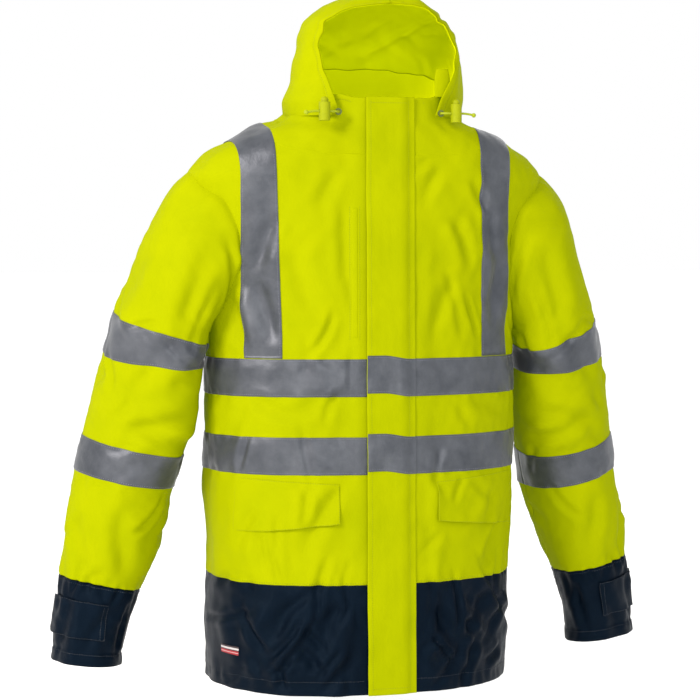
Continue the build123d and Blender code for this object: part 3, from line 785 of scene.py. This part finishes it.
grey, yellow, navy = [], [], []
for flip in (1, -1):
    for centre in (CHEST_TAPE_H, WAIST_TAPE_H):
        for edge in (-22.6, 22.6):
            grey.append(level_line(centre + edge, 12, 2, 1.15, flip))
            hs = np.full(240, centre + edge)
            a0 = angle_at_y(side_seam_y(hs[:1]) + 2, hs[:1])[0]
            grey.append(body_line(np.linspace(a0, math.pi, 240), hs, 1.15, flip))
    for x in (143.4, 183.6):
        hs = np.linspace(452, 722, 200)
        grey.append(body_line(angle_at_x(x + brace_lean(hs, flip), hs), hs, 1.5, flip))
    yellow.append(level_line(HEM_PANEL_TOP + 3.5, 36, 2, 0.1, flip))
    navy.append(level_line(19, 36, 2, 0.1, flip))
    hs = np.full(240, 19.0)
    navy.append(body_line(np.linspace(angle_at_y(side_seam_y(hs[:1]) + 2, hs[:1])[0], math.pi, 240), hs, 0.1,
                          flip))
    side_h = np.linspace(150, 500, 150)
    yellow.append(body_line(angle_at_y(side_seam_y(side_h) - 4, side_h), side_h, 0.1, flip))
yellow.append(upright_line(36.5, 150, 712, 0.1))
navy.append(upright_line(36.5, 2, 144, 0.1))
stitching("body_tape_stitching", grey, THREAD_GREY, "garment")
stitching("body_seam_stitching", yellow, THREAD_YELLOW, "garment")
stitching("hem_stitching", navy, THREAD_NAVY, "garment")


# Collar with its lining

def collar_top(a, h):
    uneven = 0.9 * np.sin(9 * a + 0.6) + 0.6 * np.sin(21 * a)
    return COLLAR_FRONT_H + (torso(a, h)[...,
                                         1] + 150) * (COLLAR_BACK_H - COLLAR_FRONT_H) / 160 - 1.2 + uneven


def collar_piece(name, start_x, lift, thick, shrink, material):
    p, n, a, h = torso_grid(spread(640, 3.4), spread(80, 3.0), at_x(start_x),
                            lambda q: 2 * math.pi - angle_at_x(start_x, q),
                            lambda a, q: neck_height(a, q) - 4.0, lambda a, q: collar_top(a, q) - shrink)
    q = np.stack([a * 110, h], -1)
    shift = body_folds(p, n) + smooth((790 - h) / 30 + 0.5) * 0.5 * waves(q, 22, 41, (1, 0.3))
    shift += 0.6 * waves(q, 60, 43)
    return slab(name, p + n * shift[..., None], n, material, thick, 2.2, lift)


collar = collar_piece("collar", 9.0, -2.4, 2.7, 0.0, YELLOW)
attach(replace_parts(collar, "collar"), "garment")
# The collar lining uses the brightened yellow, which is painted light.
lining = collar_piece("collar_lining", 24.0, -SHELL - 1.9, 1.5, 1.5, PAINTED_LIGHT_YELLOW)
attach(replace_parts(lining, "collar_lining"), "garment")
rows = []
for drop in (4.0, 7.0):
    a = np.linspace(0.4, 2 * math.pi - 0.4, 500)
    h = np.full(a.shape, 800.0)
    for _ in range(6):
        h = collar_top(a, h) - drop
    rows.append(body_line(a, h, 0.7))
stitching("collar_stitching", rows[1:], THREAD_YELLOW, "garment")


# Storm flap with its tapes

def flap_surface(xs, hs):
    x, h = np.meshgrid(xs, hs, indexing="ij")
    free = smooth((-x - 8) / 24)
    q = np.stack([x, h], -1)
    wave = 0.9 * free * waves(q, 120, 51, (0.3, 1)) + 0.35 * waves(q, 34, 52) + 0.10 * waves(q, 11, 55)
    wave += 0.35 * np.exp(-((x + 32) / 5) ** 2) * waves(q, 16, 53,
                                                        (0.1, 1)) - 0.5 * np.exp(-((x - 27) / 2.2) ** 2)
    for seam in (CHEST_TAPE_H + 5, WAIST_TAPE_H + 5):
        wave -= 0.35 * np.exp(-((np.abs(h - seam) - 25) / 3.0) ** 2)
    y = (front_y(h) - FLAP_OUT * (1 - smooth((x - 14) / 20)) + (FLAP_THICK - 0.9) * smooth((x - 22) / 12)
         - wave)
    p = np.stack([x, y, h], -1)
    return p, np.broadcast_to(np.array([0.0, -1.0, FRONT_LEAN * -1.0]), p.shape) / math.hypot(1, FRONT_LEAN)


p, n = flap_surface(-FLAP_HALF + (2 * FLAP_HALF + 4) * spread(69, 2.6, 2.0), 797 * spread(797, 3.2, 2.0))
flap = slab("storm_flap", p, n, YELLOW, FLAP_THICK, 2.0)
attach(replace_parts(flap, "storm_flap"), "storm_flap")
p, n = flap_surface(30 + 5 * spread(5, 1.2, 0.8), 3 + 790 * spread(790, 4.0, 2.0))
seam = slab("storm_flap_seam", p, n, YELLOW, 1.0, 0.8, 0.4)
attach(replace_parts(seam, "storm_flap_seam"), "garment")
grey = []
for name, centre in (("chest_tape_flap", CHEST_TAPE_H + 5), ("waist_tape_flap", WAIST_TAPE_H + 5)):
    p, n = flap_surface(-32.3 + 68.8 * spread(68.8, 2.6, 0.8), centre - 25 + 50 * spread(50, 2.6, 0.8))
    p = p - np.array([0, 0, 5.0]) * smooth((p[..., :1] + 10) / 40)
    obj = slab(name, p, n, TAPE, 1.0, 0.8, FLAP_THICK + 0.1)
    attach(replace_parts(obj, name), "storm_flap")
    for edge in (-22.6, 22.6):
        p, n = flap_surface(np.linspace(-31, 31, 50), np.array([centre + edge, centre + edge + 1]))
        grey.append((p[:, 0] + n[:,
                                 0] * (FLAP_THICK + 1.15) - np.array([0, 0,
                                         5.0]) * smooth((p[:, 0, :1] + 10) / 40),
                     n[:, 0]))
stitching("flap_tape_stitching", grey, THREAD_GREY, "storm_flap")
rows = []
for x in (27.0, -26.5):
    p, n = flap_surface(np.array([x, x + 1]), np.linspace(4, 793, 420))
    rows.append((p[0] + n[0] * (FLAP_THICK + 0.1), n[0]))
for h in (9.0, 789.0):
    p, n = flap_surface(np.linspace(-27, 27, 50), np.array([h, h + 1]))
    rows.append((p[:, 0] + n[:, 0] * (FLAP_THICK + 0.1), n[:, 0]))
stitching("flap_stitching", rows, THREAD_YELLOW, "storm_flap")


# Sleeves

def arm(phi, r):
    """The sleeve with its length counted upwards, so that its normals point out."""
    return sleeve(phi, -r)


def armhole(phi):
    """Where along the sleeve each line of it comes out of the body."""
    s = np.full(phi.shape, 300.0)
    for _ in range(220):
        inside = torso_inside(sleeve(phi, s)) < 1.0
        s = np.where(inside | (s < -20), s, s - 1.5)
    return s


def sleeve_grid(us, s_low, s_high, vs, lift=0.0, seed=0, name=""):
    phi = 2 * math.pi * us
    start = s_low(phi) if callable(s_low) else np.full(phi.shape, float(s_low))
    s = s_high + (start - s_high)[:, None] * vs[None, :] + tape_drift(name, phi)[:, None]
    ph = np.broadcast_to(phi[:, None], s.shape)
    p, n = arm(ph, -s), normals(arm, ph, -s)
    wrapped = np.mod(ph, 2 * math.pi)
    gather = 0.0
    if callable(s_low):
        head = s - start[:, None]
        q = np.stack([70 * np.cos(ph), 70 * np.sin(ph), s], -1)
        gather = np.exp(-(head / 16) ** 2) * (0.8 * waves(q, 15, 61 + seed, (1, 1, 0.2)) + 0.6)
        gather = gather - 2.2 * np.exp(-((head - 2.0) / 3.0) ** 2)
    shift = sleeve_folds(wrapped, s, seed) + gather + lift
    return p + n * shift[..., None], n, ph, s


def blend_sleeve(obj):
    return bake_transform(obj)


TAPE_DRIFT = {"arm_tape_left": (0, -4), "arm_tape_right": (0, -21), "forearm_tape_left": (0, 6),
              "forearm_tape_right": (-8, -3)}


def tape_drift(name, phi):
    """How far a sleeve tape sits off its level: all the way round, and more at the front of the inner side."""
    level_part, inner_part = TAPE_DRIFT.get(name, (0, 0))
    return level_part + inner_part * (0.5 + 0.5 * np.cos(phi - math.radians(50))) ** 2


def sleeve_row(s, lift, flip, seed, name=""):
    phi = np.linspace(0, 2 * math.pi, 300)
    ss = s + tape_drift(name, phi)
    p, n = arm(phi, -ss), normals(arm, phi, -ss)
    shift = sleeve_folds(np.mod(phi, 2 * math.pi), ss, seed) + lift
    return (p + n * shift[:, None]) * (flip, 1, 1), n * (flip, 1, 1)


closed = np.linspace(0, 1, 111)
phi_patch, s_patch = np.meshgrid(np.radians(115 + 125 * spread(120, 2.6, 1.0)),
                                 637 + 20 * (1 - 2 * spread(40, 2.6, 1.0)),
                                 indexing="ij")
for side, mirror, flip, seed in (("left", False, 1, 0), ("right", True, -1, 100)):
    p, n, ph, s = sleeve_grid(closed, armhole, CUFF_SEAM_S - 0.4, spread(500, 3.6), 0.0, seed)
    obj = slab(f"sleeve_{side}", p, n, YELLOW, SHELL, 2.2, -SHELL, rounded=(False, False, True, True),
               mirror=mirror,
               lining=LINING)
    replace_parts(obj, f"sleeve_front_{side}", f"sleeve_back_{side}")
    blend_sleeve(obj)
    p, n, ph, s = sleeve_grid(closed, CUFF_SEAM_S + 0.4, SLEEVE_END_S, spread(110, 3.0), 0.0, seed)
    band = 1.2 * smooth((s - 681) / 5) - 0.9 * np.exp(-((s - 680) / 2.0) ** 2)
    obj = slab(f"cuff_panel_{side}", p + n * band[..., None], n, NAVY, SHELL, 2.2, -SHELL,
               rounded=(False, False, True, True), mirror=mirror, lining=LINING)
    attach(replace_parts(obj, f"cuff_panel_{side}"), f"sleeve_{side}")
    grey = []
    for name, centre in (("arm_tape", ARM_TAPE_S), ("forearm_tape", FOREARM_TAPE_S)):
        p, n, ph, s = sleeve_grid(closed, centre - 25, centre + 25, spread(50, 2.6, 0.9), 0.0, seed,
                                  f"{name}_{side}")
        obj = slab(f"{name}_{side}", p, n, TAPE, 1.0, 0.9, 0.1, rounded=(False, False, True, True),
                   mirror=mirror)
        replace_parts(obj, f"{name}_{side}")
        blend_sleeve(obj)
        rows = [sleeve_row(centre + e, 1.15, flip, seed, f"{name}_{side}") for e in (-22.6, 22.6)]
        blend_sleeve(stitching(f"{name}_stitching_{side}", rows, THREAD_GREY, None))
    stitching(f"cuff_stitching_{side}",
              [sleeve_row(683.5, 1.1, flip, seed), sleeve_row(591.5, 0.1, flip, seed)],
              THREAD_NAVY, f"sleeve_{side}")
    # Cuff tab, sewn at its front end and lifting a little at the free one
    us = spread(105, 2.6, 1.6)
    across = 1 - 2 * spread(50, 2.6, 1.6)
    ph = np.radians(80 + (105 - 9 * np.abs(across) ** 5)[None, :] * us[:, None])
    s2 = np.broadcast_to(637 + 25 * across, ph.shape)
    p, n = arm(ph, -s2), normals(arm, ph, -s2)
    lift = 0.9 + sleeve_folds(ph, s2, seed) + 0.4 * smooth((np.degrees(ph) - 150) / 35)
    tab = slab(f"cuff_tab_{side}", (p + n * lift[..., None])[:, ::-1], n[:, ::-1], NAVY, 2.2, 1.6,
               mirror=mirror)
    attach(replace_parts(tab, f"cuff_tab_{side}"), f"cuff_tab_{side}")
    rise = sleeve_folds(phi_patch, s_patch, seed)
    q, nq = arm(phi_patch, -s_patch), normals(arm, phi_patch, -s_patch)
    pile = slab(f"cuff_loop_patch_{side}", (q + nq * rise[..., None])[:, ::-1], nq[:, ::-1], HOOK, 0.8, 0.8,
                0.0,
                mirror=mirror)
    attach(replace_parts(pile, f"cuff_loop_patch_{side}"), f"sleeve_{side}")
    rows = []
    for row in (2, -3):
        rows.append(((p + n * (lift + 2.35)[..., None])[:, row] * (flip, 1, 1), n[:, row] * (flip, 1, 1)))
    for col in (2, 6, -3):
        rows.append(((p + n * (lift + 2.35)[..., None])[col] * (flip, 1, 1), n[col] * (flip, 1, 1)))
    stitching(f"cuff_tab_stitching_{side}", rows, THREAD_NAVY, f"cuff_tab_{side}")


# Pocket flaps, chest welt and hem label

def patch(xs, h_low, h_high, vs, flip, bend):
    """A grid over the front between two X and two edges given as heights at each X."""
    u, v = np.meshgrid(xs, vs, indexing="ij")
    h = h_low(u) + (h_high(u) - h_low(u)) * v
    a = angle_at_x(u, h)
    p, n = torso(a, h), normals(torso, a, h)
    shift = body_folds(p * (flip, 1, 1), n * (flip, 1, 1)) + bend(u, v)
    return p + n * shift[..., None], n


for side, mirror, flip in (("left", False, 1), ("right", True, -1)):
    xs = 68 + 128 * spread(150, 2.8, 1.8)
    vs = spread(62, 2.6, 1.8)
    p, n = patch(xs, lambda x: 230 - (x - 68) * 0.11, lambda x: 283 + (x - 68) * 0.06, vs, flip,
                 lambda u, v: -0.7 + 3.7 * (1 - v) ** 1.6 * (1 - smooth((u - 140) / 50))
                 - 0.7 * smooth((u - 184) / 10) + 0.3 * waves(np.stack([u, v * 60], -1), 40, 81 + flip))
    flap = slab(f"hand_pocket_flap_{side}", p, n, YELLOW, 1.3, 1.2, mirror=mirror)
    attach(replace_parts(flap, f"hand_pocket_flap_{side}"), f"pocket_flap_{side}")
    top = p + n * 1.4
    rows = [(top[4:-4, 3] * (flip, 1, 1), n[4:-4, 3] * (flip, 1, 1)),
            (top[3, 4:-2] * (flip, 1, 1), n[3, 4:-2] * (flip, 1, 1)),
            (top[-4, 4:-2] * (flip, 1, 1), n[-4, 4:-2] * (flip, 1, 1)),
            (top[4:-4, -4] * (flip, 1, 1), n[4:-4, -4] * (flip, 1, 1))]
    stitching(f"pocket_flap_stitching_{side}", rows, THREAD_YELLOW, f"pocket_flap_{side}")
for side, mirror, flip in (("left", False, 1), ("right", True, -1)):
    low, high = (np.array(corner) * 1000 + (0, 0,
                                            HEM_TO_LOOP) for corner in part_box(f"hand_pocket_bag_{side}"))
    x0, x1 = sorted((abs(low[0]), abs(high[0])))
    p, n = patch(x0 + (x1 - x0) * spread(x1 - x0, 4.0), lambda x: x * 0 + low[2], lambda x: x * 0 + high[2],
                 spread(high[2] - low[2], 4.0), flip, lambda u, v: -9.0 + 0 * u)
    bag = slab(f"hand_pocket_bag_{side}", p, n, LINING, 5.0, 2.4, mirror=mirror)
    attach(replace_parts(bag, f"hand_pocket_bag_{side}"), "garment")
p, n = patch(43 + 8 * spread(8, 2.0, 1.2), lambda x: x * 0 + 478, lambda x: x * 0 + 650,
             spread(172, 3.0, 1.2), -1,
             lambda u, v: -1.15 + 0 * u)
obj = slab("chest_welt", p, n, YELLOW, 1.5, 1.2, mirror=True)
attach(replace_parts(obj, "chest_welt"), "garment")
rows = []
for x in (40.5, 53.5):
    rows.append(upright_line(x, 474, 654, 0.1, -1))
stitching("chest_welt_stitching", rows, THREAD_YELLOW, "garment")


def label_material():
    """A woven label: red ground with plain white stripes standing for lettering."""
    mat, nodes, links, bsdf = new_material("label_weave")
    uv = node(nodes, "ShaderNodeUVMap", uv_map="cloth")
    split = node(nodes, "ShaderNodeSeparateXYZ")
    links.new(uv.outputs["UV"], split.inputs["Vector"])
    ramp = node(nodes, "ShaderNodeValToRGB")
    ramp.color_ramp.interpolation = "CONSTANT"
    scaled = node(nodes, "ShaderNodeMath", operation="MULTIPLY")
    scaled.inputs[1].default_value = 1 / 0.0115
    links.new(split.outputs["Y"], scaled.inputs[0])
    links.new(scaled.outputs[0], ramp.inputs["Fac"])
    bands = [(0.0, (0.24, 0.004, 0.010)), (0.20, (0.42, 0.30, 0.30)), (0.27, (0.24, 0.004, 0.010)),
             (0.46, (0.02, 0.01, 0.014)), (0.58, (0.40, 0.38, 0.38)), (0.80, (0.02, 0.01, 0.014))]
    ramp.color_ramp.elements[0].color = (*bands[0][1], 1)
    ramp.color_ramp.elements[1].position, ramp.color_ramp.elements[1].color = bands[1][0], (*bands[1][1], 1)
    for position, colour in bands[2:]:
        ramp.color_ramp.elements.new(position).color = (*colour, 1)
    links.new(ramp.outputs["Color"], bsdf.inputs["Base Color"])
    wave = node(nodes, "ShaderNodeTexWave", wave_type="BANDS", bands_direction="X", Scale=420.0)
    links.new(uv.outputs["UV"], wave.inputs["Vector"])
    bump = node(nodes, "ShaderNodeBump", Strength=0.5, Distance=0.0002)
    links.new(wave.outputs["Fac"], bump.inputs["Height"])
    links.new(bump.outputs["Normal"], bsdf.inputs["Normal"])
    bsdf.inputs["Roughness"].default_value = 0.65
    return mat


p, n = patch(189 + 15 * spread(24, 1.6, 0.6), lambda x: 47 + (x - 189) * 0.05,
             lambda x: 58.5 + (x - 189) * 0.05,
             spread(11.5, 1.6, 0.6), -1, lambda u, v: 0.1 + 0 * u)
obj = slab("hem_label", p, n, label_material(), 0.7, 0.5, mirror=True)
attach(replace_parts(obj, "hem_label"), "garment")


# Hood

def opening_x(h):
    return np.interp(h, [q[0] for q in HOOD_OPENING], [q[1] for q in HOOD_OPENING])


HOOD_FOLDS = [(-60, 60, -108, 130, 3.2, 8, 0.10), (-112, 30, -98, 110, 2.4, 7, 0.0),
              (-30, 190, -90, 120, 2.2, 9, 0.08), (112, 20, 104, 120, 2.6, 8, 0.05),
              (60, 150, 96, 90, 2.4, 9, 0.0),
              (20, 200, 80, 150, 2.0, 9, 0.0), (-70, 128, -8, 88, 2.6, 7, 0.05),
              (66, 132, -2, 86, 2.6, 7, -0.05)]
HOOD_FOLDS += scattered(208, 22, (-100, 60), (100, 190), (30, 80), (0.9, 2.0), (4, 8), (-70, 70))


def hood_shift(a, t):
    p = hood(a, t)
    n = normals(hood, a, t)
    q = np.stack([a * 100, t], -1)
    folds = creases(p[..., 0], t, HOOD_FOLDS)
    shift = folds + 2.0 * waves(p, 95, 91) + 0.6 * waves(p, 34, 92) + 0.14 * waves(p, 12, 93)
    shift -= 0.9 * np.exp(-((np.abs(p[..., 0]) - 20) / 2.0) ** 2) * smooth((a_back(a) - 0.3) / 0.3)
    shift += 0.4 * waves(q, 14, 94, (1, 0.3)) * np.exp(-(t / 14) ** 2)
    tuck = smooth((p[..., 2] - 790) / 35) * smooth((905 - p[..., 2]) / 45) * smooth((-p[..., 0] - 40) / 50)
    return p, n, shift * smooth(t / 40 + 0.35) - 13.0 * tuck


def a_back(a):
    return np.abs(np.mod(a, 2 * math.pi) - math.pi) * -1 + math.pi


def hood_angle(t):
    h, hw = eased(HOOD, t)[:2]
    ratio = np.where(h < 919.8, np.clip(opening_x(h) / hw, 0, 1), 0)
    return np.arcsin(np.clip(ratio, 0, 1) ** (ROUNDNESS / 2)) + 1e-4


ts = np.concatenate([np.linspace(0, 150, 56)[:-1], np.linspace(150, 166, 14)[:-1],
                     np.linspace(166, 231.9, 26)])
us = spread(560, 4.0)
first = hood_angle(ts)
a = first[None, :] + (2 * math.pi - 2 * first)[None, :] * us[:, None]
t = np.broadcast_to(ts[None, :], a.shape)
p, n, shift = hood_shift(a, t)
# The hood's inside face uses the brightened yellow, which is painted light.
hood_obj = slab("hood_shell", p + n * shift[..., None], n, YELLOW, 2.4, 2.0, -2.4,
                rounded=(True, True, True, False), lining=PAINTED_LIGHT_YELLOW)
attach(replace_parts(hood_obj, "hood_side_left", "hood_side_right", "hood_centre"), "hood")


# The casing round the face: a band turned back from the edge, with its stitch line
inset = np.linspace(0, 1, 9)
band_t = ts[ts < 163]
b_first = hood_angle(band_t)
hw = eased(HOOD, band_t)[1]
a = b_first[None, :] + inset[:, None] * (14.0 / hw)[None, :]
for side, flip in (("left", 1), ("right", -1)):
    ap = a if flip == 1 else 2 * math.pi - a
    tt = np.broadcast_to(band_t[None, :], a.shape)
    pp, nn, ss = hood_shift(ap, tt)
    band = (pp + nn * ss[..., None]) * (flip, 1, 1)
    nb = nn * (flip, 1, 1)
    obj = slab(f"hood_hem_{side}", band, nb, YELLOW, 1.3, 1.2, 0.05, mirror=flip == -1)
    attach(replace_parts(obj, "hood_hem") if side == "left" else obj, "hood")
    row = 6
    stitching(f"hood_stitching_{side}", [((band + nb * 1.45)[row] * (flip, 1, 1), nb[row] * (flip, 1, 1))],
              THREAD_YELLOW, "hood")


# Small rounded tab inside the hood's opening on the wearer's left
across, tall = np.meshgrid(1 - 2 * spread(22, 1.8, 1.2), spread(38, 1.8, 1.2), indexing="ij")
p = np.stack([80 - 11 * across * (1 - 0.28 * tall ** 6), -137 + 3 * tall + 1.5 * across ** 2,
              799 + 38 * tall], -1)
tab = slab("hood_tab", p[::-1], np.broadcast_to(np.array([0.0, -1.0, 0.0]), p.shape), YELLOW, 1.8, 1.2)
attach(tab, "hood")


# Hood cords, each out of its eyelet, through its lock and into a knot

def cord_route(flip):
    return [(0.071 * flip, -0.157, 0.008), (0.074 * flip, -0.1608, 0.008), (0.083 * flip, -0.161, 0.008),
            (0.093 * flip, -0.161, 0.008), (0.103 * flip, -0.161, 0.008), (0.110 * flip, -0.161, 0.0072),
            (0.1158 * flip, -0.161, 0.0060)]


for side, flip in (("left", 1), ("right", -1)):
    curve = bpy.data.curves.new(f"hood_cord_{side}", "CURVE")
    curve.dimensions, curve.bevel_depth, curve.bevel_resolution, curve.use_fill_caps = "3D", 0.0015, 4, True
    spline = curve.splines.new("NURBS")
    route = cord_route(flip)
    spline.points.add(len(route) - 1)
    for point, place in zip(spline.points, route):
        point.co = (*place, 1)
    spline.order_u, spline.use_endpoint_u = 3, True
    curve.materials.append(CORD)
    cord = bpy.data.objects.new(f"hood_cord_{side}", curve)
    bpy.context.scene.collection.objects.link(cord)
    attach(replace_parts(cord, f"hood_cord_{side}"), "hood")
    bpy.ops.mesh.primitive_uv_sphere_add(segments=20, ring_count=12, radius=0.003, location=route[-1])
    knot = bpy.context.object
    knot.name = f"cord_knot_{side}"
    knot.data.materials.append(CORD)
    knot.data.shade_smooth()
    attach(knot, "hood")


# Finishes of the CAD pieces that are shown as they are

FINISHES = {
    "cord_lock_left": LOCK, "cord_lock_right": LOCK, "cord_lock_button_left": LOCK,
    "cord_lock_button_right": LOCK,
    "hood_eyelet_left": EYELET, "hood_eyelet_right": EYELET, "zip_half_left": MOULDING,
    "zip_half_right": MOULDING,
    "zip_slider": METAL, "zip_pull": METAL, "zip_bottom_box": MOULDING, "snap_sockets": METAL,
    "snap_studs": METAL,
    "hang_loop": HOOK,
}
for name, material in FINISHES.items():
    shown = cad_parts[name]
    for slot in shown.material_slots:
        slot.material = material


# Camera, floor and light

def camera_and_light():
    azimuth, distance, eye = math.radians(-16), 3.0, 0.594 - HEM_TO_LOOP / 1000
    right = Vector((math.cos(azimuth), math.sin(azimuth), 0))
    away = Vector((-math.sin(azimuth), math.cos(azimuth), 0))
    place = -away * distance - right * 0.0098 + Vector((0, 0, eye))
    pitch = math.radians(2.67)
    look = away * math.cos(pitch) - Vector((0, 0, 1)) * math.sin(pitch)
    data = bpy.data.cameras.new("camera")
    data.sensor_width, data.lens = 36.0, 36.0 * 3.0 / 0.98
    data.clip_end = 200
    cam = bpy.data.objects.new("camera", data)
    cam.location = place
    cam.rotation_euler = look.to_track_quat("-Z", "Y").to_euler()
    bpy.context.scene.collection.objects.link(cam)
    bpy.context.scene.camera = cam

    def area(name, position, target, size, power, tint=(1, 1, 1)):
        light = bpy.data.lights.new(name, "AREA")
        light.shape, light.size, light.energy, light.color = "SQUARE", size, power, tint
        lamp = bpy.data.objects.new(name, light)
        lamp.location = position
        lamp.rotation_euler = (Vector(target) - Vector(position)).to_track_quat("-Z", "Y").to_euler()
        bpy.context.scene.collection.objects.link(lamp)

    area("key", (-2.6, -1.7, 1.3), (0, 0, -0.3), 1.0, 140, (1.0, 0.90, 0.84))
    area("front", (-0.4, -3.4, 0.5), (0, 0, -0.1), 1.0, 40, (1.0, 0.95, 0.90))
    area("top", (-0.3, 0.2, 2.2), (0, 0, -0.3), 1.4, 8)
    area("back_left", (-2.0, 1.8, 0.8), (0, 0, -0.3), 1.4, 6)
    area("back_right", (2.0, 1.8, 0.8), (0, 0, -0.3), 1.4, 9)
    world = bpy.data.worlds.new("studio")
    world.use_nodes = True
    world.node_tree.nodes["Background"].inputs["Color"].default_value = (1, 1, 1, 1)
    world.node_tree.nodes["Background"].inputs["Strength"].default_value = 1.0
    bpy.context.scene.world = world
    floor_mat, _, _, floor_bsdf = new_material("floor")
    floor_bsdf.inputs["Base Color"].default_value = (0.95, 0.95, 0.95, 1)
    floor_bsdf.inputs["Roughness"].default_value = 0.9
    floor_bsdf.inputs["Emission Color"].default_value = (1, 1, 1, 1)
    floor_bsdf.inputs["Emission Strength"].default_value = 0.15
    size, z = 60.0, -0.86
    floor = mesh_object("floor", [(-size, -size, z), (size, -size, z), (size, size, z), (-size, size, z)],
                        [(0, 1, 2, 3)], None, floor_mat)
    MADE.remove(floor)
    bpy.context.scene.view_settings.view_transform = "Standard"


camera_and_light()
